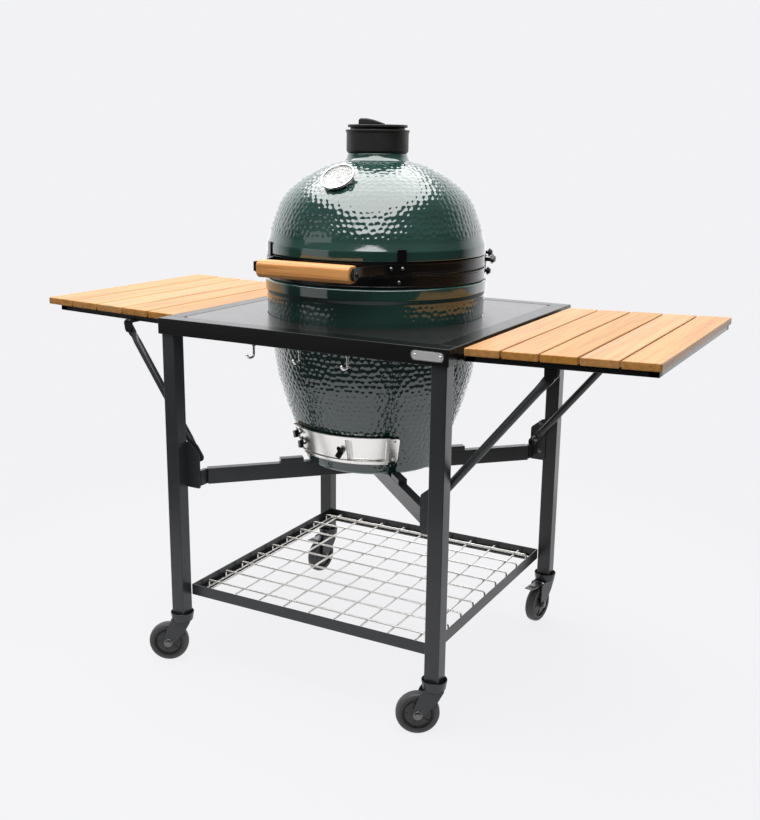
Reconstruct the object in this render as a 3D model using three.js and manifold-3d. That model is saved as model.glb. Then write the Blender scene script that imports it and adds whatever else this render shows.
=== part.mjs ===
// A kamado ceramic grill standing in a wheeled steel table with two folding wooden shelves.
// Millimetres, +Z up, the front faces -Y, and the floor is z = 0.
import * as THREE from "three";
import { mergeVertices } from "three/addons/utils/BufferGeometryUtils.js";
import Module from "manifold-3d";

// ---- Driving dimensions ----
const TABLE_TOP = 885; // floor to the top face of the table
const AXIS_BACK = 13.5; // the egg's axis is this far behind the middle of the whole, whose front wheels trail forward
const GAP = 0.3; // left between pieces that touch

const TABLE_SIDE = 760;
const APRON_HEIGHT = 38;
const RIM_WIDTH = 42;
const PLATE_HOLE_RADIUS = 272;
const LEG_WIDTH = 36;
const LEG_INSET = 6;
const LEG_BOTTOM = 121;

const CROSS_TOP = -378; // heights written with a sign are measured from the table top
const CROSS_BOTTOM = -418;
const CROSS_WIDTH = 22;
const BRACKET_Y = 334; // the inner face of the plate on each leg that carries the cross and a brace
const TRAY_TOP = -683;
const TRAY_HEIGHT = 28;
const TRAY_HALF = 337.6;
const WIRE = 5;
const WIRE_PITCH = 72;

const EGG_SIDES = 36; // facets of every piece turned about the egg's axis, so that their flats line up
const RIM_RADIUS = 264;
const BAND_THICKNESS = 3;
const SEAM = 119; // the height where the dome meets the base
const BOLT_ANGLE = 41; // where the handle's arms meet the bands, from the front

const DRAFT_BOTTOM = -345;
const DRAFT_TOP = -272;
const DRAFT_END = 37; // half the angle of the draft door's track
const SHUTTER_EDGE = 9.5;

const HINGE_Y = 302;
const HINGE_Z = 115;
const HINGE_HALF = 192;
const HINGE_ROD_HALF = 180;

const DIAL_Y = -188;
const DIAL_Z = 333.5;
const DIAL_RADIUS = 41;
const DIAL_TILT = 49; // degrees that the dial's normal rises from the horizontal

const VENT_RADIUS = 75;

const SHELF_PIVOT_X = 387;
const SHELF_PIVOT_Z = -28;
const SHELF_RISE = 1.5; // degrees that the shelves rise outwards
const SLAT_START = 392;
const SLAT_WIDTH = 78.4;
const SLAT_PITCH = 82.9;
const SLAT_TOP = -2.5;
const SLAT_THICKNESS = 17;
const SHELF_RAIL = 22;
const SHELF_RAIL_HEIGHT = 11.7;
const BRACE_Y = 320;
const BRACE_RADIUS = 9.5;
const BRACE_FOOT_X = 321;
// The two sides differ in their length, in the reach of their steel frame and in where their braces start.
const SHELVES = {
  left: { sign: -1, half: 310, frameEnd: 763, top: [519, -49], foot: [BRACE_FOOT_X, -338] },
  right: { sign: 1, half: 332, frameEnd: 797, top: [578, -50], foot: [BRACE_FOOT_X, -362] },
};

const WHEEL_RADIUS = 50;
const WHEEL_HALF_WIDTH = 13.5;
const TRAIL = 36;
const FORK_PLATE = 3;
const CASTERS = {
  front_left: { x: -1, y: -1, trailAngle: 208.6, brake: false },
  front_right: { x: 1, y: -1, trailAngle: 208.6, brake: false },
  back_left: { x: -1, y: 1, trailAngle: 261, brake: true },
  back_right: { x: 1, y: 1, trailAngle: 261, brake: true },
};

// ---- Values that follow from them ----
const TABLE_HALF = TABLE_SIDE / 2;
const PLATE_HALF = TABLE_HALF - RIM_WIDTH;
const LEG_OUT = TABLE_HALF - LEG_INSET;
const LEG_IN = LEG_OUT - LEG_WIDTH;
const LEG_CENTRE = (LEG_OUT + LEG_IN) / 2;
const radians = THREE.MathUtils.degToRad;

// ---- Materials ----
const finish = (color, roughness, metalness) =>
  new THREE.MeshStandardMaterial({ color, roughness, metalness });
const GLAZE = finish(0x1f3a33, 0.15, 0);
const POWDER_COAT = finish(0x2b2b2e, 0.5, 0.3);
const PLATE_COAT = finish(0x3a3b3d, 0.6, 0.3);
const BLACK_STEEL = finish(0x151515, 0.4, 0.6);
const STAINLESS = finish(0xc9c6c0, 0.3, 1);
const TEAK = finish(0xdca066, 0.55, 0);
const GRIP_WOOD = finish(0xc98443, 0.5, 0);
const FIRECLAY = finish(0xc9b79c, 0.9, 0);
const CAST_IRON = finish(0x1c1c1d, 0.6, 0.5);
const FELT = finish(0x8d8d88, 1, 0);
const TYRE = finish(0x2c2c2d, 0.8, 0);
const ZINC = finish(0x8f8f8f, 0.35, 1);
const GLASS = finish(0xffffff, 0.05, 0);
const NEEDLE_GREY = finish(0x6a6c6e, 0.4, 0);
const BADGE = finish(0xb9bcbf, 0.3, 0.9);

// ---- Solids ----
const wasm = await Module();
wasm.setup();

function solidOf(geometry) {
  const bare = geometry.clone();
  bare.deleteAttribute("normal");
  bare.deleteAttribute("uv");
  const merged = mergeVertices(bare, 1e-4);
  const index = merged.index.array;
  const faces = [];
  for (let i = 0; i < index.length; i += 3) {
    const [a, b, c] = [index[i], index[i + 1], index[i + 2]];
    if (a !== b && b !== c && c !== a) faces.push(a, b, c);
  }
  return new wasm.Manifold(
    new wasm.Mesh({
      numProp: 3,
      vertProperties: new Float32Array(merged.attributes.position.array),
      triVerts: new Uint32Array(faces),
    }),
  );
}

function geometryOf(solid) {
  const mesh = solid.getMesh();
  return new THREE.BufferGeometry()
    .setAttribute("position", new THREE.BufferAttribute(mesh.vertProperties, 3))
    .setIndex(new THREE.BufferAttribute(mesh.triVerts, 1));
}

const join = (first, ...rest) =>
  geometryOf(rest.reduce((sum, piece) => sum.add(solidOf(piece)), solidOf(first)));
const cut = (first, ...rest) =>
  geometryOf(rest.reduce((left, piece) => left.subtract(solidOf(piece)), solidOf(first)));
const common = (a, b) => geometryOf(solidOf(a).intersect(solidOf(b)));

// A box from its lowest corner to its highest, with its heights measured from the floor.
function box([x0, y0, z0], [x1, y1, z1]) {
  return new THREE.BoxGeometry(Math.abs(x1 - x0), Math.abs(y1 - y0), Math.abs(z1 - z0)).translate(
    (x0 + x1) / 2,
    (y0 + y1) / 2,
    (z0 + z1) / 2,
  );
}

// The same, with its heights measured from the table top.
const tableBox = ([x0, y0, z0], [x1, y1, z1]) =>
  box([x0, y0, TABLE_TOP + z0], [x1, y1, TABLE_TOP + z1]);

// A round bar between two points.
function rod(from, to, radius, sides = 12) {
  const start = new THREE.Vector3(...from);
  const along = new THREE.Vector3(...to).sub(start);
  const turn = new THREE.Quaternion().setFromUnitVectors(
    new THREE.Vector3(0, 1, 0),
    along.clone().normalize(),
  );
  const middle = start.addScaledVector(along, 0.5);
  return new THREE.CylinderGeometry(radius, radius, along.length(), sides)
    .applyQuaternion(turn)
    .translate(middle.x, middle.y, middle.z);
}

// A profile of [radius, height] pairs turned about Z. It runs up the outside and down the inside.
function turned(profile, sides = EGG_SIDES) {
  const points = profile.map(([radius, height]) => new THREE.Vector2(radius, height));
  return new THREE.LatheGeometry(points, sides).rotateX(Math.PI / 2);
}

// A closed ring about the egg's axis, with its heights measured from the table top.
function eggRing(profile) {
  const lifted = profile.map(([radius, height]) => [radius, TABLE_TOP + height]);
  return turned([...lifted, lifted[0]]);
}

// An outline of [x, y] pairs, or a Shape, pulled up by a thickness from z = 0.
function plate(outline, thickness, curveSegments = 8) {
  const shape = Array.isArray(outline)
    ? new THREE.Shape(outline.map(([x, y]) => new THREE.Vector2(x, y)))
    : outline;
  return new THREE.ExtrudeGeometry(shape, { depth: thickness, bevelEnabled: false, curveSegments });
}

// An outline of [x, z] pairs, or a Shape, pulled along Y between two values.
function wallAlongY(outline, y0, y1, curveSegments = 8) {
  return plate(outline, Math.abs(y1 - y0), curveSegments)
    .rotateX(Math.PI / 2)
    .translate(0, Math.max(y0, y1), 0);
}

// The point on a circle about the egg's axis at an angle from the front, positive to the right.
const around = (radius, degrees) => [
  radius * Math.sin(radians(degrees)),
  -radius * Math.cos(radians(degrees)),
];

// The part of a ring between two angles from the front.
function slice(ring, from, to) {
  const far = 420;
  const middle = (from + to) / 2;
  const wedge = [[0, 0], around(far, from), around(far, middle), around(far, to)];
  return common(ring, plate(wedge, TABLE_TOP * 2));
}

// A round-ended bar outline about the origin.
function stadium(halfLength, radius) {
  const shape = new THREE.Shape();
  shape.absarc(halfLength, 0, radius, -Math.PI / 2, Math.PI / 2);
  shape.absarc(-halfLength, 0, radius, Math.PI / 2, (3 * Math.PI) / 2);
  return shape;
}

// The outline of a strip of a constant thickness along a line of points.
function strip(points, thickness) {
  const line = points.map(([x, y]) => new THREE.Vector2(x, y));
  const sideOf = (i) => {
    const before = line[Math.max(i - 1, 0)];
    const after = line[Math.min(i + 1, line.length - 1)];
    const along = after.clone().sub(before).normalize();
    return new THREE.Vector2(-along.y, along.x).multiplyScalar(thickness / 2);
  };
  const left = line.map((p, i) => p.clone().add(sideOf(i)));
  const right = line.map((p, i) => p.clone().sub(sideOf(i)));
  return new THREE.Shape([...left, ...right.reverse()]);
}

// ---- The scene graph ----
const grill = new THREE.Group();
grill.position.y = AXIS_BACK;

function addPart(name, geometry, material, parent = grill) {
  const mesh = new THREE.Mesh(geometryOf(solidOf(geometry)), material);
  mesh.name = name;
  parent.add(mesh);
  return mesh;
}

// ---- Table ----
function tableFrame() {
  const rim = cut(
    tableBox([-TABLE_HALF, -TABLE_HALF, -APRON_HEIGHT], [TABLE_HALF, TABLE_HALF, 0]),
    tableBox([-PLATE_HALF, -PLATE_HALF, -APRON_HEIGHT - 1], [PLATE_HALF, PLATE_HALF, 1]),
  );
  const ledge = cut(
    tableBox([-PLATE_HALF - 1, -PLATE_HALF - 1, -8.4], [PLATE_HALF + 1, PLATE_HALF + 1, -4.8]),
    tableBox([-322, -322, -9], [322, 322, -4]),
  );
  // Four lugs with the pins that the shelves turn on.
  const lugs = [];
  for (const sx of [-1, 1]) {
    for (const sy of [-1, 1]) {
      lugs.push(
        tableBox(
          [sx * (TABLE_HALF - 1), sy * 297, SHELF_PIVOT_Z - 6],
          [sx * 390, sy * 303, SHELF_PIVOT_Z + 6],
        ),
      );
      lugs.push(
        rod(
          [sx * SHELF_PIVOT_X, sy * 302, TABLE_TOP + SHELF_PIVOT_Z],
          [sx * SHELF_PIVOT_X, sy * 318, TABLE_TOP + SHELF_PIVOT_Z],
          3.2,
        ),
      );
    }
  }
  return join(rim, ledge, ...lugs);
}

function insertPlate() {
  const edge = PLATE_HALF - 0.6;
  return cut(
    tableBox([-edge, -edge, -4.5], [edge, edge, -0.5]),
    rod([0, 0, TABLE_TOP - 10], [0, 0, TABLE_TOP + 10], PLATE_HOLE_RADIUS, 48),
  );
}

function leg(sx, sy, footHeight) {
  const wall = 2.5;
  const top = TABLE_TOP - APRON_HEIGHT - GAP;
  const tube = cut(
    box([sx * LEG_IN, sy * LEG_IN, LEG_BOTTOM], [sx * LEG_OUT, sy * LEG_OUT, top]),
    box(
      [sx * (LEG_IN + wall), sy * (LEG_IN + wall), LEG_BOTTOM + 4],
      [sx * (LEG_OUT - wall), sy * (LEG_OUT - wall), top + 1],
    ),
  );
  const centre = [sx * LEG_CENTRE, sy * LEG_CENTRE];
  const stem = rod([...centre, 106], [...centre, LEG_BOTTOM + 2], 8);
  const bracket = tableBox([sx * 302, sy * BRACKET_Y, -421], [sx * 372, sy * (LEG_IN + 0.5), -312]);
  const bolt = (radius, from, to) =>
    rod(
      [sx * BRACE_FOOT_X, sy * from, TABLE_TOP + footHeight],
      [sx * BRACE_FOOT_X, sy * to, TABLE_TOP + footHeight],
      radius,
    );
  return join(tube, stem, bracket, bolt(4.5, 335, 313), bolt(8, 317, 312));
}

// The cross under the egg: four arms from the middle to the legs' brackets, with stops around the egg's foot.
function crossFrame() {
  const pieces = [];
  const stopStart = 188;
  const stopEnd = 247;
  for (const turn of [45, 135]) {
    const bar = tableBox([-500, -CROSS_WIDTH / 2, CROSS_BOTTOM], [500, CROSS_WIDTH / 2, CROSS_TOP]);
    const stops = [-1, 1].map((side) =>
      tableBox(
        [side * stopStart, -CROSS_WIDTH / 2, CROSS_TOP - 1],
        [side * stopEnd, CROSS_WIDTH / 2, CROSS_TOP + 12],
      ),
    );
    pieces.push(...[bar, ...stops].map((piece) => piece.rotateZ(radians(turn))));
  }
  const reachX = 311; // short of the braces, which hang just outside it when the shelves are folded
  const reachY = BRACKET_Y - GAP;
  const toes = [];
  for (const sx of [-1, 1]) {
    for (const sy of [-1, 1]) {
      toes.push(
        tableBox([sx * 300, sy * 310, CROSS_BOTTOM + 1], [sx * reachX, sy * reachY, CROSS_TOP - 1]),
      );
    }
  }
  const arms = common(
    join(...pieces),
    tableBox([-reachX, -reachY, CROSS_BOTTOM - 1], [reachX, reachY, CROSS_TOP + 20]),
  );
  return join(arms, ...toes);
}

function trayFrame() {
  const wall = 3;
  const flange = 25;
  const bottom = TRAY_TOP - TRAY_HEIGHT;
  const inside = TRAY_HALF - wall;
  const open = TRAY_HALF - flange;
  return cut(
    tableBox([-TRAY_HALF, -TRAY_HALF, bottom], [TRAY_HALF, TRAY_HALF, TRAY_TOP]),
    tableBox([-inside, -inside, bottom + wall], [inside, inside, TRAY_TOP + 1]),
    tableBox([-open, -open, bottom - 1], [open, open, bottom + wall + 1]),
  );
}

// A mat of wires both ways, whose ends turn down to a square of wire that rests in the tray frame.
function wireGrid() {
  const reach = 322;
  const top = TRAY_TOP - 7;
  const foot = TRAY_TOP - TRAY_HEIGHT + 3 + GAP;
  const half = WIRE / 2;
  const bars = [];
  for (let i = -4; i <= 4; i++) {
    const at = i * WIRE_PITCH;
    for (const [reachX, reachY, level] of [
      [reach, 0, top],
      [0, reach, top - WIRE + 0.5],
    ]) {
      const [x, y] = reachX ? [0, at] : [at, 0];
      bars.push(
        tableBox(
          [x - reachX - half, y - reachY - half, level - WIRE],
          [x + reachX + half, y + reachY + half, level],
        ),
      );
      for (const side of [-1, 1]) {
        const [footX, footY] = [x + side * reachX, y + side * reachY];
        bars.push(
          tableBox([footX - half, footY - half, foot], [footX + half, footY + half, level]),
        );
      }
    }
  }
  const square = cut(
    tableBox([-reach - half, -reach - half, foot], [reach + half, reach + half, foot + WIRE]),
    tableBox([-reach + half, -reach + half, foot - 1], [reach - half, reach - half, foot + 6]),
  );
  return join(square, ...bars);
}

function badgePlate() {
  const [halfLength, radius] = [28.5, 10.5];
  const face = -TABLE_HALF - GAP;
  const body = wallAlongY(stadium(halfLength, radius), face - 1.5, face, 6);
  const rivets = [-1, 1].map((side) =>
    rod([side * halfLength, face - 1, 0], [side * halfLength, face - 2.5, 0], 3, 10),
  );
  return join(body, ...rivets).translate(332, 0, TABLE_TOP - 18);
}

// A flat bar under the front apron that carries three hooks for tools.
function hookRail() {
  const [middle, pitch] = [6, 124];
  const end = pitch + 13;
  const bar = tableBox(
    [middle - end, -366, -APRON_HEIGHT - 3 - GAP],
    [middle + end, -354, -APRON_HEIGHT - GAP],
  );
  const section = new THREE.Shape();
  section.absarc(0, 0, 2.7, 0, 2 * Math.PI);
  const hooks = [-1, 0, 1].map((i) => {
    const line = new THREE.CurvePath();
    const point = (y, z) => new THREE.Vector3(middle + i * pitch, y, TABLE_TOP + z);
    line.add(new THREE.LineCurve3(point(-360, -APRON_HEIGHT - 2), point(-360, -60)));
    line.add(
      new THREE.CubicBezierCurve3(
        point(-360, -60),
        point(-360, -74),
        point(-380, -74),
        point(-386, -59),
      ),
    );
    return new THREE.ExtrudeGeometry(section, { steps: 12, extrudePath: line, curveSegments: 3 });
  });
  return join(bar, ...hooks);
}

// ---- Ceramic body ----
function baseShell() {
  const outside = [
    [158, -377.6],
    [172, -371],
    [176.5, -362],
    [203, -284],
    [222, -234],
    [236, -187],
    [246, -150],
    [257, -80],
    [267, -5],
    [269, 45],
    [270, 62],
    [270, 86],
    [RIM_RADIUS, 88],
    [RIM_RADIUS, SEAM - 3.7],
  ];
  const inside = [
    [239, SEAM - 3.7],
    [238, 20],
    [229, -100],
    [214, -170],
    [192, -240],
    [168, -296],
    [140, -346],
  ];
  const profile = [[0, -377.6], ...outside, ...inside, [0, -346]];
  const bowl = turned(profile.map(([radius, height]) => [radius, TABLE_TOP + height]));
  const doorway = slice(
    eggRing([
      [120, -333],
      [300, -333],
      [300, -285],
      [120, -285],
    ]),
    -28,
    28,
  );
  return cut(bowl, doorway);
}

function domeShell() {
  const bottom = SEAM + 4;
  const shell = eggRing([
    [RIM_RADIUS, bottom],
    [RIM_RADIUS, 147.4],
    [268, 149],
    [268, 172],
    [262.5, 185],
    [259, 205],
    [248.5, 234],
    [229.5, 277],
    [200, 307.6],
    [168.5, 330],
    [125, 352],
    [80, 367],
    [75, 372.5],
    [73, 379],
    [72.6, 383.2],
    [70, 383.6],
    [70, 392],
    [48, 392],
    [48, 362],
    [96, 340],
    [150, 312],
    [180, 288],
    [206, 256],
    [226, 214],
    [237, 170],
    [239, bottom],
  ]);
  return cut(shell, dialRod(8, -60, -1));
}

// The bowl that holds the charcoal, with a ledge for its grate and a draft passage under it.
function firebox() {
  const bowl = eggRing([
    [50, -345.6],
    [125, -345.6],
    [150, -306],
    [178, -236],
    [200, -160],
    [208, -100],
    [208, -62],
    [184, -62],
    [184, -100],
    [174, -162],
    [150, -236],
    [127, -290.6],
    [106, -290.6],
    [104, -304],
    [50, -304],
  ]);
  return cut(bowl, tableBox([-50, -220, -338], [50, -30, -312]));
}

const fireRing = () =>
  eggRing([
    [212, -61.6],
    [222, 20],
    [222, 70],
    [198, 70],
    [198, 20],
    [186, -61.6],
  ]);

function fireGrate() {
  const disc = rod([0, 0, TABLE_TOP - 290], [0, 0, TABLE_TOP - 284], 121, 24);
  const slots = [-75, -45, -15, 15, 45, 75].map((x) =>
    tableBox([x - 6, -80, -295], [x + 6, 80, -280]),
  );
  return cut(disc, ...slots);
}

function cookingGrid() {
  const low = TABLE_TOP + 70 + GAP;
  const [pitch, halfBar, tie, height] = [24, 4.5, 76, 8];
  const slots = [];
  for (let i = -9; i < 9; i++) {
    const [y0, y1] = [i * pitch + halfBar, (i + 1) * pitch - halfBar];
    const reach = Math.sqrt(220 ** 2 - Math.max(y0 ** 2, y1 ** 2));
    const middle = Math.min(reach, tie - halfBar);
    for (const [x0, x1] of [
      [-reach, -tie - halfBar],
      [-middle, middle],
      [tie + halfBar, reach],
    ]) {
      if (x1 - x0 > 4 * halfBar) slots.push(box([x0, y0, low - 1], [x1, y1, low + height + 1]));
    }
  }
  return cut(rod([0, 0, low], [0, 0, low + height], 228, EGG_SIDES), ...slots);
}

const gasket = (low) =>
  eggRing([
    [262, low],
    [262, low + 3.1],
    [241, low + 3.1],
    [241, low],
  ]);

// ---- Bands and hinge ----
function band(low, high) {
  const inner = RIM_RADIUS + 0.4;
  const outer = inner + BAND_THICKNESS;
  return eggRing([
    [outer, low],
    [outer, high],
    [inner, high],
    [inner, low],
  ]);
}

const hingePoint = new THREE.Vector2(HINGE_Y, HINGE_Z);

// A plate across X with a round eye on the hinge pin, given by its outline of [y, z] pairs.
function hingeCheek(x, outline, eyeRadius) {
  const lifted = outline.map(([y, z]) => [y, TABLE_TOP + z]);
  const side = plate(lifted, 4)
    .rotateX(Math.PI / 2)
    .rotateZ(Math.PI / 2)
    .translate(x - 2, 0, 0);
  const eye = rod(
    [x - 2, hingePoint.x, TABLE_TOP + hingePoint.y],
    [x + 2, hingePoint.x, TABLE_TOP + hingePoint.y],
    eyeRadius,
    16,
  );
  const bore = rod(
    [x - 5, hingePoint.x, TABLE_TOP + hingePoint.y],
    [x + 5, hingePoint.x, TABLE_TOP + hingePoint.y],
    5.5,
    16,
  );
  return cut(join(side, eye), bore);
}

// A rod across the back of a band, with a hexagon nut at each end.
function hingeRod(y, z) {
  const at = (x) => [x, y, TABLE_TOP + z];
  const nuts = [-1, 1].map((side) =>
    rod(at(side * (HINGE_ROD_HALF - 8)), at(side * HINGE_ROD_HALF), 8, 6),
  );
  return join(rod(at(-HINGE_ROD_HALF), at(HINGE_ROD_HALF), 4.5), ...nuts);
}

function baseBand() {
  const cheeks = [-160, 160].map((x) =>
    hingeCheek(
      x,
      [
        [211.8, 90],
        [290, 76],
        [306, 74],
        [312, 84],
        [313, 112],
        [304, 126],
        [290, 124],
        [236, 116.5],
        [211.8, 116.5],
      ],
      11,
    ),
  );
  return join(band(90, 117), ...cheeks, hingeRod(300, 83));
}

function domeBand() {
  const cheeks = [-152, 152].map((x) =>
    hingeCheek(
      x,
      [
        [217.6, 123],
        [238, 122],
        [292, 101],
        [309, 104],
        [316, 128],
        [308, 141],
        [217.6, 146],
      ],
      11,
    ),
  );
  const tabs = [-BOLT_ANGLE, BOLT_ANGLE].map((angle) =>
    join(
      tableBox([-10.5, -271.8, 145.4], [10.5, -268.6, 178]),
      tableBox([-10.5, -271.8, 145.4], [10.5, -264.8, 147.2]),
    ).rotateZ(radians(angle)),
  );
  return join(band(121, 147), ...cheeks, hingeRod(308, 131), ...tabs);
}

function hingePin() {
  const at = (x) => [x, HINGE_Y, TABLE_TOP + HINGE_Z];
  const ends = [-1, 1].map((side) => rod(at(side * (HINGE_HALF - 9)), at(side * HINGE_HALF), 10, 6));
  return join(rod(at(-HINGE_HALF), at(HINGE_HALF), 5), ...ends);
}

// The envelope of the coil spring that lifts the dome.
function hingeSpring() {
  const at = (x) => [x, HINGE_Y, TABLE_TOP + HINGE_Z];
  return cut(rod(at(-144), at(144), 11.5, 16), rod(at(-147), at(147), 6, 16));
}

// ---- Draft door ----
const draftRadius = (z) => 188 + ((z - DRAFT_BOTTOM) * 26) / (DRAFT_TOP - DRAFT_BOTTOM);

// A curved piece that follows the taper of the body, between two heights, two depths and two angles.
function draftPiece([low, high], [inner, outer], [from, to]) {
  return slice(
    eggRing([
      [draftRadius(low) + outer, low],
      [draftRadius(high) + outer, high],
      [draftRadius(high) + inner, high],
      [draftRadius(low) + inner, low],
    ]),
    from,
    to,
  );
}

const DOOR_HEIGHTS = [DRAFT_BOTTOM + 8.6, DRAFT_TOP - 8.6];

function draftFrame() {
  const reach = [-DRAFT_END - 2, DRAFT_END + 2];
  return join(
    draftPiece([DRAFT_BOTTOM, DRAFT_BOTTOM + 8], [-4.2, 4], reach),
    draftPiece([DRAFT_TOP - 8, DRAFT_TOP], [-4.2, 4], reach),
    draftPiece([DRAFT_BOTTOM, DRAFT_TOP], [-4.2, 4], [-DRAFT_END - 2, -DRAFT_END]),
    draftPiece([DRAFT_BOTTOM, DRAFT_TOP], [-4.2, 4], [DRAFT_END, DRAFT_END + 2]),
    draftPiece([DRAFT_BOTTOM + 4, DRAFT_TOP - 4], [-4.2, -2.2], [-46, -DRAFT_END]),
    draftPiece([DRAFT_BOTTOM + 4, DRAFT_TOP - 4], [-4.2, -2.2], [DRAFT_END, 46]),
    draftPiece([DRAFT_BOTTOM + 4, DRAFT_TOP - 4], [-4.2, -2.9], [12, DRAFT_END + 1]),
  );
}

// A square knob on a short stem at an angle and a height.
function draftKnob(angle, height) {
  const [nearX, nearY] = around(draftRadius(height) + 0.8, angle);
  const [farX, farY] = around(draftRadius(height) + 10, angle);
  const [x, y] = around(draftRadius(height) + 13, angle);
  const stem = rod(
    [nearX, nearY, TABLE_TOP + height],
    [farX, farY, TABLE_TOP + height],
    2.5,
    8,
  );
  const block = new THREE.BoxGeometry(11, 9, 20)
    .rotateZ(radians(angle))
    .translate(x, y, TABLE_TOP + height - 6);
  return join(stem, block);
}

const draftDoor = () =>
  join(
    draftPiece(DOOR_HEIGHTS, [0.1, 1.6], [-DRAFT_END + 0.3, SHUTTER_EDGE]),
    draftKnob(SHUTTER_EDGE - 3.5, -312),
    draftKnob(-DRAFT_END + 3, -300),
  );

const draftScreen = () =>
  draftPiece(DOOR_HEIGHTS, [-2, -0.7], [-DRAFT_END + 0.3, SHUTTER_EDGE + 4]);

// ---- Handle ----
const HANDLE_Y = -324;
const HANDLE_Z = 129;
const GRIP_HALF = 121;

function handleGrip() {
  const [half, corner] = [19.5, 8];
  const outline = [];
  for (const [sy, sz] of [
    [-1, -1],
    [1, -1],
    [1, 1],
    [-1, 1],
  ]) {
    const ends = [
      [sy * half, sz * (half - corner)],
      [sy * (half - corner), sz * half],
    ];
    outline.push(...(sy * sz > 0 ? ends : ends.reverse()));
  }
  return plate(outline, 2 * GRIP_HALF)
    .rotateX(Math.PI / 2)
    .rotateZ(Math.PI / 2)
    .translate(-GRIP_HALF, HANDLE_Y, TABLE_TOP + HANDLE_Z);
}

function handleBracket(side) {
  const middle = 270.9;
  const line = [
    [129, HANDLE_Y - 15],
    [129, HANDLE_Y + 18],
    around(middle + 1.5, 33),
    ...[36, 40, 44].map((angle) => around(middle, angle)),
  ].map(([x, y]) => [side * x, y]);
  const arm = plate(strip(line, 4), 22).translate(0, 0, TABLE_TOP + 123);
  const at = (x) => [side * x, HANDLE_Y, TABLE_TOP + HANDLE_Z];
  return join(arm, rod(at(GRIP_HALF + GAP), at(129), 13, 12));
}

// ---- Thermometer ----
const dialNormal = new THREE.Vector3(
  0,
  -Math.cos(radians(DIAL_TILT)),
  Math.sin(radians(DIAL_TILT)),
);
const dialCentre = new THREE.Vector3(0, DIAL_Y, TABLE_TOP + DIAL_Z);

// A round bar on the dial's axis, between two distances out from the dial's face.
function dialRod(radius, from, to, sides = 24) {
  const at = (distance) => dialCentre.clone().addScaledVector(dialNormal, distance).toArray();
  return rod(at(from), at(to), radius, sides);
}

const thermometerCase = () =>
  join(
    cut(dialRod(DIAL_RADIUS, -7, 0), dialRod(DIAL_RADIUS - 3, -4, 1)),
    dialRod(6, -85, -6.5, 10),
  );

function thermometerNeedle() {
  const hub = dialRod(4, -3.6, -2.4, 10);
  const pointer = new THREE.BoxGeometry(2.4, 34, 0.7)
    .translate(0, 10, 0)
    .rotateZ(radians(20))
    .rotateX(radians(90 - DIAL_TILT))
    .translate(...dialCentre.clone().addScaledVector(dialNormal, -3).toArray());
  return join(hub, pointer);
}

// ---- Vent ----
const VENT_PIN = [50, 34];

function ventCollar() {
  const collar = eggRing([
    [72.5, 384],
    [VENT_RADIUS, 389],
    [VENT_RADIUS, 432],
    [VENT_RADIUS + 2, 435],
    [VENT_RADIUS + 2, 438],
    [66, 438],
    [66, 443],
    [54, 443],
    [54, 392.4],
    [70.4, 392.4],
    [70.4, 384],
  ]);
  return join(collar, rod([...VENT_PIN, TABLE_TOP + 436], [...VENT_PIN, TABLE_TOP + 450.5], 4));
}

function ventDisc() {
  const disc = rod([0, 0, TABLE_TOP + 443.5], [0, 0, TABLE_TOP + 450], 72, EGG_SIDES);
  const bore = rod([...VENT_PIN, TABLE_TOP + 440], [...VENT_PIN, TABLE_TOP + 460], 4.5);
  // The wedge that the disc is turned by, high at its outer end.
  const wedge = wallAlongY(
    [
      [-46, 449],
      [18, 449],
      [18, 452],
      [6, 457],
      [-10, 462],
      [-26, 465],
      [-42, 465],
      [-46, 461],
    ],
    -13,
    13,
  ).translate(0, 0, TABLE_TOP);
  return join(cut(disc, bore), wedge.rotateZ(radians(28)));
}

// ---- Shelves ----
// Their shapes are made level and then turned about the shelf's pivot by its rise.
function risen(geometry, sign) {
  const [x, z] = [sign * SHELF_PIVOT_X, TABLE_TOP + SHELF_PIVOT_Z];
  return geometry
    .translate(-x, 0, -z)
    .rotateY(-sign * radians(SHELF_RISE))
    .translate(x, 0, z);
}

function shelfFrame({ sign, half, frameEnd, top }) {
  const high = SLAT_TOP - SLAT_THICKNESS - GAP;
  const low = high - SHELF_RAIL_HEIGHT;
  const [inner, side] = [394, half - 4];
  const rails = cut(
    tableBox([sign * inner, -side, low], [sign * frameEnd, side, high]),
    tableBox(
      [sign * (inner + SHELF_RAIL), -side + SHELF_RAIL, low - 1],
      [sign * (frameEnd - SHELF_RAIL), side - SHELF_RAIL, high + 1],
    ),
  );
  const pieces = [rails];
  const bores = [];
  const pivot = [sign * SHELF_PIVOT_X, TABLE_TOP + SHELF_PIVOT_Z];
  for (const sy of [-1, 1]) {
    // The knuckle that turns on the table's pin, and the bar that carries it past the rail's corner.
    pieces.push(
      rod([pivot[0], sy * 306, pivot[1]], [pivot[0], sy * 314, pivot[1]], 6.2, 14),
      box([pivot[0], sy * 306, pivot[1] - 5.8], [sign * 395, sy * 314, pivot[1] + 5.8]),
      tableBox([sign * inner, sy * (side - SHELF_RAIL), low], [sign * (inner + 6), sy * 314, high]),
    );
    bores.push(rod([pivot[0], sy * 304, pivot[1]], [pivot[0], sy * 316, pivot[1]], 3.6, 14));
    // The ear that the brace's head is bolted to, on a tab under the rail.
    const [x, z] = [sign * top[0], top[1]];
    pieces.push(
      tableBox([x - 12, sy * 323.5, z - 11], [x + 12, sy * 327.5, low + 1]),
      tableBox([x - 12, sy * (side - SHELF_RAIL + 2), low - 2.5], [x + 12, sy * 327.5, low + 1]),
    );
  }
  return risen(cut(join(...pieces), ...bores), sign);
}

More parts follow.
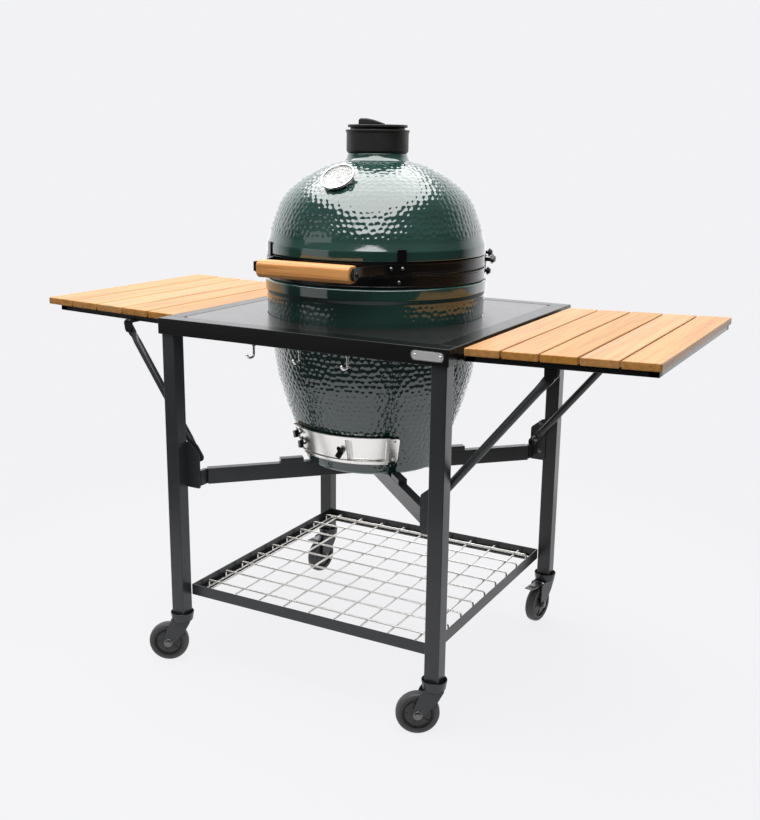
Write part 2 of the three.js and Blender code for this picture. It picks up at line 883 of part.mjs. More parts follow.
function slat(sign, half, i) {
  const start = SLAT_START + i * SLAT_PITCH;
  const board = tableBox(
    [sign * start, -half, SLAT_TOP - SLAT_THICKNESS],
    [sign * (start + SLAT_WIDTH), half, SLAT_TOP],
  );
  return risen(board, sign);
}

// A round tube with flattened ends, from the pivot at the origin along +X.
function brace(length) {
  const neck = 26;
  const eyeAt = (x) => stadium(neck / 2, 11).getPoints(6).map((p) => [p.x + x, p.y]);
  const flats = [neck / 2, length - neck / 2].map((x) => wallAlongY(eyeAt(x), -2.5, 2.5));
  const tube = rod([neck - 4, 0, 0], [length - neck + 4, 0, 0], BRACE_RADIUS, 10);
  const bores = [0, length].map((x) => rod([x, -6, 0], [x, 6, 0], 4.9, 14));
  return cut(join(tube, ...flats), ...bores);
}

function addShelf(side) {
  const { sign, half, top, foot } = SHELVES[side];
  addPart(`${side}_shelf_frame`, shelfFrame(SHELVES[side]), POWDER_COAT);
  for (let i = 0; i < 5; i++) {
    addPart(`${side}_shelf_slat_${i + 1}`, slat(sign, half, i), TEAK);
  }
  const head = new THREE.Vector2(...top)
    .rotateAround(new THREE.Vector2(SHELF_PIVOT_X, SHELF_PIVOT_Z), radians(SHELF_RISE));
  const run = [head.x - foot[0], head.y - foot[1]];
  const length = Math.hypot(...run);
  for (const [end, sy] of [
    ["front", -1],
    ["back", 1],
  ]) {
    const pivot = new THREE.Group();
    pivot.position.set(sign * foot[0], sy * BRACE_Y, TABLE_TOP + foot[1]);
    pivot.rotation.y = Math.atan2(-run[1], sign * run[0]);
    grill.add(pivot);
    addPart(`${side}_${end}_brace`, brace(length), POWDER_COAT, pivot);
  }
}

// ---- Casters, built with the trail along +X and the leg's axis at the origin ----
function casterFork(hasBrake) {
  const cup = turned(
    [
      [22, 106],
      [27, 111],
      [30, 131],
      [28, 132],
      [26.8, 119],
      [8.5, 119],
      [8.5, 106],
      [22, 106],
    ],
    20,
  );
  const inner = WHEEL_HALF_WIDTH + 2;
  const outline = [
    [-24, 112],
    [hasBrake ? 42 : 26, 112],
    [hasBrake ? 46 : 34, 98],
    [48, 56],
    [45, 43],
    [36, 38],
    [26, 43],
    [-8, 82],
  ];
  const cheeks = [
    wallAlongY(outline, inner, inner + FORK_PLATE),
    wallAlongY(outline, -inner - FORK_PLATE, -inner),
  ];
  const reach = inner + FORK_PLATE;
  const axle = rod([TRAIL, -reach - 4, WHEEL_RADIUS], [TRAIL, reach + 4, WHEEL_RADIUS], 5);
  const nuts = [-1, 1].map((side) =>
    rod([TRAIL, side * (reach - 1), WHEEL_RADIUS], [TRAIL, side * (reach + 3), WHEEL_RADIUS], 9, 6),
  );
  const brakePin = hasBrake ? [rod([35, -inner - 1, 107], [35, inner + 1, 107], 2.2, 8)] : [];
  return join(cup, ...cheeks, axle, ...nuts, ...brakePin);
}

function casterWheel() {
  const oneSide = [
    [5.6, -13],
    [17, -13],
    [19, -10],
    [33, -10],
    [36, -WHEEL_HALF_WIDTH],
    [46, -12],
    [WHEEL_RADIUS, -6],
  ];
  const otherSide = oneSide.map(([radius, width]) => [radius, -width]).reverse();
  const profile = [...oneSide, ...otherSide, oneSide[0]];
  return turned(profile, 20).rotateX(Math.PI / 2).translate(TRAIL, 0, WHEEL_RADIUS);
}

function brakeLever() {
  const pedal = wallAlongY(
    [
      [31.5, 103],
      [38, 101.8],
      [90, 107],
      [91, 111],
      [60, 109.5],
      [31.5, 111],
    ],
    -12,
    12,
  );
  return cut(pedal, rod([35, -14, 107], [35, 14, 107], 2.6, 8));
}

function addCaster(corner) {
  const { x, y, trailAngle, brake } = CASTERS[corner];
  const swivel = new THREE.Group();
  swivel.position.set(x * LEG_CENTRE, y * LEG_CENTRE, 0);
  swivel.rotation.z = radians(trailAngle);
  grill.add(swivel);
  addPart(`${corner}_caster_fork`, casterFork(brake), BLACK_STEEL, swivel);
  addPart(`${corner}_wheel`, casterWheel(), TYRE, swivel);
  if (brake) addPart(`${corner}_brake_lever`, brakeLever(), ZINC, swivel);
}

// ---- Assembly ----
addPart("top_frame", tableFrame(), POWDER_COAT);
addPart("insert_plate", insertPlate(), PLATE_COAT);
for (const [corner, { x, y }] of Object.entries(CASTERS)) {
  addPart(`${corner}_leg`, leg(x, y, (x < 0 ? SHELVES.left : SHELVES.right).foot[1]), POWDER_COAT);
}
addPart("cross_frame", crossFrame(), POWDER_COAT);
addPart("tray_frame", trayFrame(), POWDER_COAT);
addPart("wire_grid", wireGrid(), STAINLESS);
addPart("badge_plate", badgePlate(), BADGE);
addPart("hook_rail", hookRail(), BLACK_STEEL);

addPart("base_shell", baseShell(), GLAZE);
addPart("firebox", firebox(), FIRECLAY);
addPart("fire_ring", fireRing(), FIRECLAY);
addPart("fire_grate", fireGrate(), CAST_IRON);
addPart("cooking_grid", cookingGrid(), STAINLESS);
addPart("base_gasket", gasket(SEAM - 3.4), FELT);
addPart("base_band", baseBand(), BLACK_STEEL);
addPart("hinge_pin", hingePin(), ZINC);
addPart("hinge_spring", hingeSpring(), ZINC);
addPart("draft_frame", draftFrame(), STAINLESS);
addPart("draft_door", draftDoor(), STAINLESS);
addPart("draft_screen", draftScreen(), STAINLESS);

addPart("dome_shell", domeShell(), GLAZE);
addPart("dome_gasket", gasket(SEAM + 0.4), FELT);
addPart("dome_band", domeBand(), BLACK_STEEL);
addPart("handle_bracket_left", handleBracket(-1), BLACK_STEEL);
addPart("handle_bracket_right", handleBracket(1), BLACK_STEEL);
addPart("handle_grip", handleGrip(), GRIP_WOOD);
addPart("thermometer_case", thermometerCase(), ZINC);
addPart("thermometer_lens", dialRod(DIAL_RADIUS - 3.4, -2, -0.6), GLASS);
addPart("thermometer_needle", thermometerNeedle(), NEEDLE_GREY);
addPart("vent_collar", ventCollar(), CAST_IRON);
addPart("vent_disc", ventDisc(), CAST_IRON);

addShelf("left");
addShelf("right");
for (const corner of Object.keys(CASTERS)) addCaster(corner);

export default grill;
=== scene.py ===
"""The looks of the kamado grill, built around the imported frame.

Shapes are made in millimetres, from the egg's axis and the table top, and placed by GRILL.
Angles about the egg run from the front, positive to the right.
"""

import math

import bmesh
import bpy
import numpy as np
from mathutils import Matrix, Vector

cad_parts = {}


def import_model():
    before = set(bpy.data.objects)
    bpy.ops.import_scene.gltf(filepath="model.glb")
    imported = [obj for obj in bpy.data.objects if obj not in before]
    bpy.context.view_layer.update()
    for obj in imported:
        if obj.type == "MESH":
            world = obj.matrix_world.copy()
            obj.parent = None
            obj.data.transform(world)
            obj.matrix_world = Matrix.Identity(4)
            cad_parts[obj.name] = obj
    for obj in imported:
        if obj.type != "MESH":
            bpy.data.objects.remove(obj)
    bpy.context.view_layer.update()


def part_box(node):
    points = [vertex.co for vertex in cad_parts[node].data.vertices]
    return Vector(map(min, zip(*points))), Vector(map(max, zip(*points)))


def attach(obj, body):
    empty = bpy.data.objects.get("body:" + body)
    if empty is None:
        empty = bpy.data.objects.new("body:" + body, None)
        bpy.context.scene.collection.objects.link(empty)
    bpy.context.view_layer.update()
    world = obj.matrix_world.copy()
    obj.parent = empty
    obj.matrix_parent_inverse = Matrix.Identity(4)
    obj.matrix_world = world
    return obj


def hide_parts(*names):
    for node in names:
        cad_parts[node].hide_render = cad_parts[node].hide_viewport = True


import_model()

# ---- Places taken from the frame ----
MM = 0.001
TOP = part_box("top_frame")[1].z / MM
AXIS_Y = sum(corner.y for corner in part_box("dome_shell")) / 2 / MM
GRILL = Matrix.Scale(MM, 4) @ Matrix.Translation((0, AXIS_Y, TOP))


def node_box(node):
    """A node's lowest and highest corners, in millimetres from the egg's axis and the table top."""
    back = GRILL.inverted()
    return [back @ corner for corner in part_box(node)]


TABLE_HALF = node_box("top_frame")[1].y
APRON_LOW = node_box("top_frame")[0].z
LEG_OUT = node_box("front_right_leg")[1].x
LEG_WIDTH = 36
LEG_IN = LEG_OUT - LEG_WIDTH
LEG_CENTRE = (LEG_OUT + LEG_IN) / 2
CORNERS = {
    "front_left": (-1, -1),
    "front_right": (1, -1),
    "back_left": (-1, 1),
    "back_right": (1, 1),
}


# ---- Shader helpers ----
def add_node(tree, kind, links=None, **settings):
    """A shader node with its settings, and with each socket linked or given a value."""
    made = tree.nodes.new(kind)
    for key, value in settings.items():
        setattr(made, key, value)
    for socket, value in (links or {}).items():
        if isinstance(value, bpy.types.NodeSocket):
            tree.links.new(value, made.inputs[socket])
        else:
            made.inputs[socket].default_value = value
    return made


class Finish:
    """A Principled material whose sockets are set, and to which textures are linked."""

    def __init__(self, name, color, roughness, metallic=0.0, **sockets):
        self.material = bpy.data.materials.new(name)
        self.material.use_nodes = True
        self.tree = self.material.node_tree
        self.surface = self.tree.nodes["Principled BSDF"]
        values = {"Base Color": (*color, 1), "Roughness": roughness, "Metallic": metallic, **sockets}
        for socket, value in values.items():
            self.surface.inputs[socket].default_value = value
        self.place = self.node("ShaderNodeTexCoord").outputs["Object"]
        self.heights = []

    def node(self, kind, links=None, **settings):
        return add_node(self.tree, kind, links, **settings)

    def stretched(self, scale):
        """Object coordinates, scaled along each axis."""
        return self.node("ShaderNodeMapping", {"Vector": self.place, "Scale": scale}).outputs[0]

    def noise(self, scale, detail=3, roughness=0.5, stretch=None, distortion=0.0):
        place = self.stretched(stretch) if stretch else self.place
        links = {"Vector": place, "Scale": scale, "Detail": detail}
        links |= {"Roughness": roughness, "Distortion": distortion}
        return self.node("ShaderNodeTexNoise", links).outputs["Fac"]

    def ramp(self, factor, stops):
        made = self.node("ShaderNodeValToRGB", {"Fac": factor})
        elements = made.color_ramp.elements
        while len(elements) < len(stops):
            elements.new(0.5)
        for element, (position, color) in zip(elements, stops):
            element.position = position
            element.color = (*color, 1) if len(color) == 3 else color
        return made.outputs["Color"]

    def spread(self, factor, low, high):
        """A factor from 0 to 1 spread between two values."""
        links = {"Value": factor, "To Min": low, "To Max": high}
        return self.node("ShaderNodeMapRange", links).outputs[0]

    def math(self, operation, a, b=0.0):
        return self.node("ShaderNodeMath", {0: a, 1: b}, operation=operation).outputs[0]

    def set(self, socket, value):
        self.tree.links.new(value, self.surface.inputs[socket])
        return self

    def mottle(self, factor, low, high):
        """Colours the surface between two tones, by a factor that stays near its middle."""
        return self.set("Base Color", self.ramp(factor, [(0.3, low), (0.7, high)]))

    def rough(self, factor, low, high):
        """Spreads the roughness between two values."""
        return self.set("Roughness", self.spread(factor, low, high))

    def bump(self, height, strength, distance=0.001):
        """Adds a layer of relief, on top of the ones already there."""
        links = {"Height": height, "Strength": strength, "Distance": distance}
        if self.heights:
            links["Normal"] = self.heights[-1]
        self.heights.append(self.node("ShaderNodeBump", links).outputs[0])
        return self.set("Normal", self.heights[-1])


def grey(value, tint=0.0):
    return (value * (1 - tint), value, value * (1 + tint))


def glaze():
    """A thick dark green glaze over clay."""
    made = Finish("glaze", (0.009, 0.036, 0.029), 0.08, **{"IOR": 1.88})
    made.mottle(made.noise(9, detail=4), (0.0075, 0.031, 0.025), (0.011, 0.043, 0.035))
    made.rough(made.noise(30), 0.05, 0.1)
    made.bump(made.noise(260, detail=2), 0.04)
    return made.bump(made.noise(60, detail=1), 0.05, 0.002).material


def powder_coat(name, value, roughness, tint, specular):
    """A dark baked coat, a little uneven in tone and with a fine orange peel."""
    made = Finish(name, grey(value, tint), roughness, 0.0, **{"Specular IOR Level": specular})
    made.mottle(made.noise(14, detail=5), grey(value * 0.9, tint), grey(value * 1.12, tint))
    made.rough(made.noise(40, detail=4), roughness - 0.02, roughness + 0.03)
    return made.bump(made.noise(1400, detail=2), 0.12, 0.0004).material


def metal(name, color, roughness, stretch=(1, 1, 1), streak=0.25):
    """Bare metal with fine streaks along the axis that is least stretched."""
    made = Finish(name, color, roughness, 1.0)
    fine = made.noise(700, stretch=stretch)
    dull = tuple(0.88 * c for c in color)
    made.set("Base Color", made.ramp(fine, [(0.35, dull), (0.65, color)]))
    made.rough(fine, roughness * (1 - streak), roughness * (1 + streak))
    return made.bump(fine, 0.06, 0.0003).material


def wood(name, tones, along, plank_pitch=None):
    """Straight-grained wood: tones run from light to dark, and the grain lies along one axis.

    With a plank pitch, each plank has its own tint and grain.
    """
    made = Finish(name, tones[0], 0.5, **{"Specular IOR Level": 0.36})
    stretch = [1.0, 1.0, 1.0]
    stretch[along] = 0.035
    if plank_pitch:
        across = made.node("ShaderNodeSeparateXYZ", {0: made.place}).outputs[0]
        beyond = made.math("SUBTRACT", made.math("ABSOLUTE", across), PLANK_START)
        plank = made.math("FLOOR", made.math("DIVIDE", beyond, plank_pitch))
        plank = made.math("ADD", plank, made.math("MULTIPLY", made.math("SIGN", across), 10.0))
        own = made.node("ShaderNodeTexWhiteNoise", {"W": plank}, noise_dimensions="1D")
        links = {0: own.outputs["Color"], 1: (3, 3, 3)}
        shift = made.node("ShaderNodeVectorMath", links, operation="MULTIPLY").outputs[0]
        made.place = made.node("ShaderNodeVectorMath", {0: made.place, 1: shift}).outputs[0]
    broad = made.noise(20, detail=3, stretch=stretch, distortion=0.35)
    rings = made.math("SINE", made.math("MULTIPLY", broad, 40.0))
    bands = made.spread(rings, 0.0, 1.0)
    bands.node.inputs["From Min"].default_value = -1
    stretch[along] *= 0.35
    pores = made.noise(420, detail=4, stretch=stretch)
    grain = made.math("ADD", made.math("MULTIPLY", bands, 0.24), made.math("MULTIPLY", pores, 0.76))
    color = made.ramp(grain, [(0.18, tones[0]), (0.5, tones[1]), (0.82, tones[2])])
    if plank_pitch:
        own = own.outputs["Value"]
        links = {"Value": made.spread(own, 0.88, 1.08), "Saturation": made.spread(own, 1.06, 0.92)}
        color = made.node("ShaderNodeHueSaturation", {"Color": color, **links}).outputs[0]
    made.set("Base Color", color)
    made.rough(pores, 0.32, 0.48)
    return made.bump(pores, 0.18, 0.0004).material


def rough_cast(name, value):
    made = Finish(name, grey(value), 0.45, **{"Specular IOR Level": 0.3})
    made.mottle(made.noise(30, detail=5), grey(value * 0.8), grey(value * 1.3))
    made.rough(made.noise(60), 0.42, 0.62)
    return made.bump(made.noise(500, detail=4), 0.25, 0.0006).material


def moulded(name, value, roughness=0.55):
    made = Finish(name, grey(value), roughness)
    made.mottle(made.noise(50, detail=4), grey(value * 0.85), grey(value * 1.15))
    return made.bump(made.noise(1100, detail=2), 0.15, 0.0003).material


def fireclay():
    made = Finish("fireclay", (0.55, 0.43, 0.29), 0.9)
    made.mottle(made.noise(18, detail=6, roughness=0.65), (0.42, 0.33, 0.23), (0.62, 0.5, 0.35))
    return made.bump(made.noise(240, detail=5), 0.35, 0.001).material


def felt():
    made = Finish("felt", (0.2, 0.2, 0.19), 0.95, **{"Sheen Weight": 0.3})
    made.mottle(made.noise(350, detail=5), (0.14, 0.14, 0.13), (0.3, 0.3, 0.28))
    return made.bump(made.noise(900, detail=4), 0.6, 0.0008).material


def paint(name, color):
    made = Finish(name, color, 0.35)
    made.rough(made.noise(80), 0.3, 0.4)
    return made.bump(made.noise(900), 0.05, 0.0002).material


def clear_glass():
    sockets = {"Transmission Weight": 1.0, "IOR": 1.1, "Alpha": 0.25}
    return Finish("dial_glass", (1, 1, 1), 0.02, **sockets).material


GLAZE = glaze()
FRAME_COAT = powder_coat("frame_coat", 0.022, 0.3, 0.07, 0.52)
APRON_COAT = powder_coat("apron_coat", 0.005, 0.24, 0.03, 0.22)
PLATE_COAT = powder_coat("plate_coat", 0.012, 0.24, 0.0, 0.6)
BLACK_STEEL = powder_coat("black_steel", 0.003, 0.22, 0.0, 0.3)
STAINLESS = metal("stainless", (1.0, 0.985, 0.96), 0.26, (1, 1, 14))
WIRE = metal("wire", (0.8, 0.79, 0.76), 0.3)
HOOK_STEEL = metal("hook_steel", (0.8, 0.79, 0.77), 0.2)
BADGE_STEEL = metal("badge_steel", (0.8, 0.8, 0.79), 0.5, (1, 14, 14))
DARK_BOLT = metal("dark_bolt", (0.17, 0.17, 0.175), 0.26)
CHROME = metal("chrome", (0.88, 0.88, 0.88), 0.1, streak=0.1)
PLANK_START = 0.3898
PLANK_PITCH = 0.0829
SLAT_TONES = [(0.42, 0.205, 0.052), (0.365, 0.167, 0.038), (0.24, 0.092, 0.016)]
SLAT_WOOD = wood("slat_wood", SLAT_TONES, 1, PLANK_PITCH)
GRIP_WOOD = wood("grip_wood", [(0.62, 0.3, 0.1), (0.53, 0.235, 0.068), (0.34, 0.13, 0.03)], 0)
CAST_IRON = rough_cast("cast_iron", 0.009)
FIRECLAY = fireclay()
FELT = felt()
TYRE = moulded("tyre", 0.045)
WHEEL_CORE = moulded("wheel_core", 0.018, 0.4)
DIAL_WHITE = paint("dial_white", (0.28, 0.28, 0.275))
DIAL_INK = paint("dial_ink", (0.1, 0.1, 0.1))
NEEDLE = paint("needle", (0.3, 0.3, 0.31))
GLASS = clear_glass()


# ---- Shape helpers: each returns a bmesh in millimetres ----
def turned(degrees, axis="Z"):
    """A turn about an axis, as a matrix."""
    return Matrix.Rotation(math.radians(degrees), 4, axis)


def around(radius, degrees, height):
    """A place at an angle about the egg."""
    turn = math.radians(degrees)
    return Vector((radius * math.sin(turn), -radius * math.cos(turn), height))


def box(low, high, bevel=1.2, segments=2):
    low, high = Vector(map(min, low, high)), Vector(map(max, low, high))
    size = high - low
    part = bmesh.new()
    bmesh.ops.create_cube(part, size=1)
    for vertex in part.verts:
        vertex.co = Vector(low[i] + (vertex.co[i] + 0.5) * size[i] for i in range(3))
    offset = min(bevel, 0.4 * min(size))
    if offset > 0:
        bmesh.ops.bevel(
            part, geom=part.edges[:], offset=offset, segments=segments, profile=0.5, affect="EDGES"
        )
    return part


def soft(points, radius, steps=3, closed=True):
    """A line of points with its corners rounded."""
    points = [Vector(p) for p in points]
    result = [] if closed else [points[0]]
    corners = range(len(points)) if closed else range(1, len(points) - 1)
    for i in corners:
        corner = points[i]
        before = points[i - 1] - corner
        after = points[(i + 1) % len(points)] - corner
        cut = min(radius, before.length * 0.45, after.length * 0.45)
        start, end = corner + before.normalized() * cut, corner + after.normalized() * cut
        for step in range(steps + 1):
            t = step / steps
            result.append(start * (1 - t) ** 2 + corner * 2 * t * (1 - t) + end * t * t)
    if not closed:
        result.append(points[-1])
    return result


def soft_pairs(outline, radius, steps=3):
    """A flat outline with its corners rounded, as plain pairs."""
    return [tuple(p) for p in soft(outline, radius, steps)]


def faced(part):
    """The part, with all its faces turned outwards."""
    bmesh.ops.recalc_face_normals(part, faces=part.faces[:])
    return part


def skin(part, rings, closed=False):
    """Joins rings of vertices by faces, in a loop or with both ends capped."""
    count = len(rings[0])
    for here, there in zip(rings, rings[1:] + rings[:1] if closed else rings[1:]):
        for k in range(count):
            m = (k + 1) % count
            part.faces.new((here[k], there[k], there[m], here[m]))
    if not closed:
        part.faces.new(rings[0])
        part.faces.new(rings[-1][::-1])
    return part


def lathe(profile, sides=96, start=0.0, end=360.0):
    """A closed profile of (radius, height) turned about Z, all the way or between two angles."""
    part = bmesh.new()
    full = end - start >= 360
    count = sides if full else sides + 1
    turns = [start + (end - start) * i / sides for i in range(count)]
    skin(part, [[part.verts.new(around(r, turn, z)) for r, z in profile] for turn in turns], full)
    bmesh.ops.remove_doubles(part, verts=part.verts[:], dist=1e-4)
    return faced(part)


def aim(start, end):
    """The matrix that stands local Z on the line from start to end."""
    along = (Vector(end) - Vector(start)).normalized()
    return Matrix.Translation(start) @ Vector((0, 0, 1)).rotation_difference(along).to_matrix().to_4x4()


def rod(start, end, radius, sides=24, chamfer=0.6):
    length = (Vector(end) - Vector(start)).length
    c = min(chamfer, radius * 0.4, length * 0.4)
    profile = [(0, 0), (radius - c, 0), (radius, c)]
    profile += [(r, length - z) for r, z in reversed(profile)]
    part = lathe(profile, sides)
    part.transform(aim(start, end))
    return part


def prism(outline, depth, bevel=0.8, segments=2):
    """An outline of (x, y) pulled up by depth, with its rims rounded."""
    part = bmesh.new()
    face = part.faces.new([part.verts.new((x, y, 0)) for x, y in outline])
    pulled = bmesh.ops.extrude_face_region(part, geom=[face])["geom"]
    pulled = [v for v in pulled if isinstance(v, bmesh.types.BMVert)]
    bmesh.ops.translate(part, verts=pulled, vec=(0, 0, depth))
    if bevel:
        rims = [e for e in part.edges if abs(e.verts[0].co.z - e.verts[1].co.z) < 1e-6]
        bmesh.ops.bevel(
            part, geom=rims, offset=min(bevel, depth * 0.4), segments=segments, profile=0.5, affect="EDGES"
        )
    return faced(part)


def across_x(part, x):
    """Stands a prism drawn in (y, z) across X, from x on."""
    swap = Matrix(((0, 0, 1), (1, 0, 0), (0, 1, 0))).to_4x4()
    part.transform(Matrix.Translation((x, 0, 0)) @ swap)
    return part


def across_y(part, y):
    """Stands a prism drawn in (x, z) across Y, from y forward."""
    part.transform(Matrix.Translation((0, y, 0)) @ turned(90, "X"))
    return part


def tube(points, radius, sides=10, closed=False):
    """A round wire along a line of points."""
    points = [Vector(p) for p in points]
    part = bmesh.new()
    count = len(points)
    rings = []
    side = None
    for i, point in enumerate(points):
        if closed:
            along = (points[(i + 1) % count] - points[i - 1]).normalized()
        else:
            along = (points[min(i + 1, count - 1)] - points[max(i - 1, 0)]).normalized()
        if side is None:
            side = along.orthogonal().normalized()
        side = (side - along * side.dot(along)).normalized()
        other = along.cross(side)
        ring = []
        for k in range(sides):
            turn = 2 * math.pi * k / sides
            spoke = side * radius * math.cos(turn) + other * radius * math.sin(turn)
            ring.append(part.verts.new(point + spoke))
        rings.append(ring)
    return faced(skin(part, rings, closed))


def loft(stations, sides=20):
    """A skin along X over rounded sections, each (x, half width in Z, half thickness in Y)."""
    part = bmesh.new()
    turns = [2 * math.pi * k / sides for k in range(sides)]
    rings = []
    for x, wide, thick in stations:
        rings.append([part.verts.new((x, thick * math.sin(t), wide * math.cos(t))) for t in turns])
    return faced(skin(part, rings))


def stadium(half_length, radius, steps=10):
    """A round-ended bar's outline."""
    points = []
    for side in (1, -1):
        for i in range(steps + 1):
            turn = math.radians(-90 + 180 * i / steps)
            points.append((side * (half_length + radius * math.cos(turn)), side * radius * math.sin(turn)))
    return points


def hex_bolt(start, end, size):
    """A hexagon head standing on start, with its top at end and a washer under it."""
    length = (Vector(end) - Vector(start)).length
    head = lathe([(0, 0), (size, 0), (size, length * 0.85), (size * 0.86, length), (0, length)], 6)
    head.transform(aim(start, end))
    washer_top = Vector(start).lerp(Vector(end), min(1.0, 1.2 / length))
    return [head, rod(start, washer_top, size * 1.35, 20, 0.3)]


def dome_head(start, end, radius):
    """The low round head of a carriage bolt or a rivet."""
    length = (Vector(end) - Vector(start)).length
    profile = [(0, 0), (radius, 0), (radius * 0.96, length * 0.35), (radius * 0.75, length * 0.75)]
    part = lathe([*profile, (radius * 0.4, length * 0.95), (0, length)], 20)
    part.transform(aim(start, end))
    return part


def in_scene(name, data, matrix=None):
    """An object that is linked to the scene, at its place."""
    made = bpy.data.objects.new(name, data)
    if matrix:
        made.matrix_world = matrix
    bpy.context.scene.collection.objects.link(made)
    return made


class Form:
    """Parts gathered into one mesh, each placed by a matrix."""

    def __init__(self, *parts, place=None):
        self.mesh = bmesh.new()
        self.add(*parts, place=place)

    def add(self, *parts, place=None):
        for part in parts:
            if place:
                part.transform(place)
            buffer = bpy.data.meshes.new("buffer")
            part.to_mesh(buffer)
            part.free()
            self.mesh.from_mesh(buffer)
            bpy.data.meshes.remove(buffer)
        return self

    def piece(self, name, body, slot, material, *nodes, crease=38):
        """Makes the object, which rides on a body and stands for the nodes."""
        self.mesh.transform(GRILL)
        mesh = bpy.data.meshes.new(name)
        self.mesh.to_mesh(mesh)
        self.mesh.free()
        return put(mesh, name, body, slot, material, *nodes, crease=crease)


def put(mesh, name, body, slot, material, *nodes, crease=38):
    mesh.polygons.foreach_set("use_smooth", [True] * len(mesh.polygons))
    mesh.set_sharp_from_angle(angle=math.radians(crease))
    mesh.materials.append(material)
    made = in_scene(name, mesh)
    weighted = made.modifiers.new("flat_faces_stay_flat", "WEIGHTED_NORMAL")
    weighted.keep_sharp = True
    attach(made, body)
    if nodes:
        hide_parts(*nodes)
    return made


# ---- Camera, light and floor ----
CAMERA_TURN = math.radians(28.53)
CAMERA_RISE = math.radians(14.0)
CAMERA_ROLL = math.radians(0.71)
CAMERA_PLACE = (1271, -2309, 401)
FOCAL_LENGTH, SENSOR_WIDTH = 46.52, 36
TO_CAMERA = Vector((0, -math.cos(CAMERA_RISE), math.sin(CAMERA_RISE)))
TO_CAMERA.rotate(Matrix.Rotation(CAMERA_TURN, 3, "Z"))
BACKDROP = (0.888, 0.888, 0.905)
SWEEP_LIGHT = 1.7
WALL_LIGHT = (0.05, 0.2)  # low down and high up
CEILING_PLACE, CEILING_SIZE, CEILING_POWER = Vector((-0.18, -0.3, 3.3)), (3.8, 7.2), 350
FILL_PLACE, FILL_AIM = Vector((-2.6, -3.6, 1.5)), Vector((0, 0, 0.9))
FILL_SIZE, FILL_POWER = (2.6, 2.8), 16
FLOOR_RADIUS = 1.6
FLOOR_FADE_FROM = 0.7


def camera():
    right = Vector((0, 0, 1)).cross(TO_CAMERA).normalized()
    axes = Matrix((right, TO_CAMERA.cross(right), TO_CAMERA)).transposed()
    turn = axes @ Matrix.Rotation(CAMERA_ROLL, 3, "Z")
    lens = bpy.data.cameras.new("camera")
    lens.lens = FOCAL_LENGTH
    lens.sensor_width = SENSOR_WIDTH
    place = Matrix.Translation(GRILL @ Vector(CAMERA_PLACE))
    bpy.context.scene.camera = in_scene("camera", lens, place @ turn.to_4x4())


def area_light(name, shape, size, power, place, turn):
    light = bpy.data.lights.new(name, "AREA")
    light.shape = shape
    light.size, light.size_y = size
    light.energy = power
    in_scene(name, light, Matrix.Translation(place) @ turn)


def lights():
    turn = Matrix.Rotation(CAMERA_TURN, 4, "Z")
    area_light("ceiling", "ELLIPSE", CEILING_SIZE, CEILING_POWER, CEILING_PLACE, turn)
    turn = (FILL_AIM - FILL_PLACE).to_track_quat("-Z", "Y").to_matrix().to_4x4()
    area_light("fill", "RECTANGLE", FILL_SIZE, FILL_POWER, FILL_PLACE, turn)


def world():
    """The camera sees one plain colour. The grill is lit by a bright sweep behind it and by dim walls."""
    made = bpy.data.worlds.new("studio")
    made.use_nodes = True
    tree = made.node_tree

    def node(kind, links=None, socket=0, **settings):
        return add_node(tree, kind, links, **settings).outputs[socket]

    def spread(value, start, end, low=0.0, high=1.0):
        links = {"Value": value, "From Min": start, "From Max": end, "To Min": low, "To Max": high}
        return node("ShaderNodeMapRange", links)

    direction = node("ShaderNodeTexCoord", socket="Generated")
    links = {0: direction, 1: (-TO_CAMERA.x, -TO_CAMERA.y, 0)}
    behind = node("ShaderNodeVectorMath", links, "Value", operation="DOT_PRODUCT")
    height = node("ShaderNodeSeparateXYZ", {0: direction}, "Z")
    links = {0: spread(behind, 0.15, 0.6), 1: spread(height, 0.5, 0.75, 1, 0)}
    sweep = node("ShaderNodeMath", links, operation="MULTIPLY")
    wall = spread(height, 0.05, 0.5, *WALL_LIGHT)
    strength = spread(sweep, 0, 1, wall, SWEEP_LIGHT)
    seen = node("ShaderNodeBackground", {"Color": (*BACKDROP, 1)})
    lit = node("ShaderNodeBackground", {"Color": (*BACKDROP, 1), "Strength": strength})
    by_camera = node("ShaderNodeLightPath", socket="Is Camera Ray")
    mixed = node("ShaderNodeMixShader", {0: by_camera, 1: lit, 2: seen})
    tree.links.new(mixed, tree.nodes["World Output"].inputs[0])
    bpy.context.scene.world = made


def pale_floor():
    """A pale sheet: matt near the grill, and as bright as the backdrop at its edge."""
    sockets = {"Specular IOR Level": 0.0, "Emission Color": (*BACKDROP, 1)}
    made = Finish("floor", (0.04, 0.04, 0.04), 0.9, **sockets)
    distance = made.node("ShaderNodeVectorMath", {0: made.place}, operation="LENGTH").outputs["Value"]
    links = {"Value": distance, "From Min": FLOOR_FADE_FROM, "From Max": FLOOR_RADIUS}
    near_to_far = made.node("ShaderNodeMapRange", links).outputs[0]
    made.set("Emission Strength", made.spread(near_to_far, 0.93, 1.0))
    made.set("Base Color", made.ramp(near_to_far, [(0.0, grey(0.05)), (1.0, grey(0.0))]))
    return made.material


def floor():
    sheet = bmesh.new()
    bmesh.ops.create_circle(sheet, cap_ends=True, segments=128, radius=FLOOR_RADIUS)
    mesh = bpy.data.meshes.new("floor")
    sheet.to_mesh(mesh)
    sheet.free()
    mesh.materials.append(pale_floor())
    in_scene("floor", mesh)


def studio():
    camera()
    lights()
    world()
    floor()
    bpy.context.scene.view_settings.view_transform = "Standard"


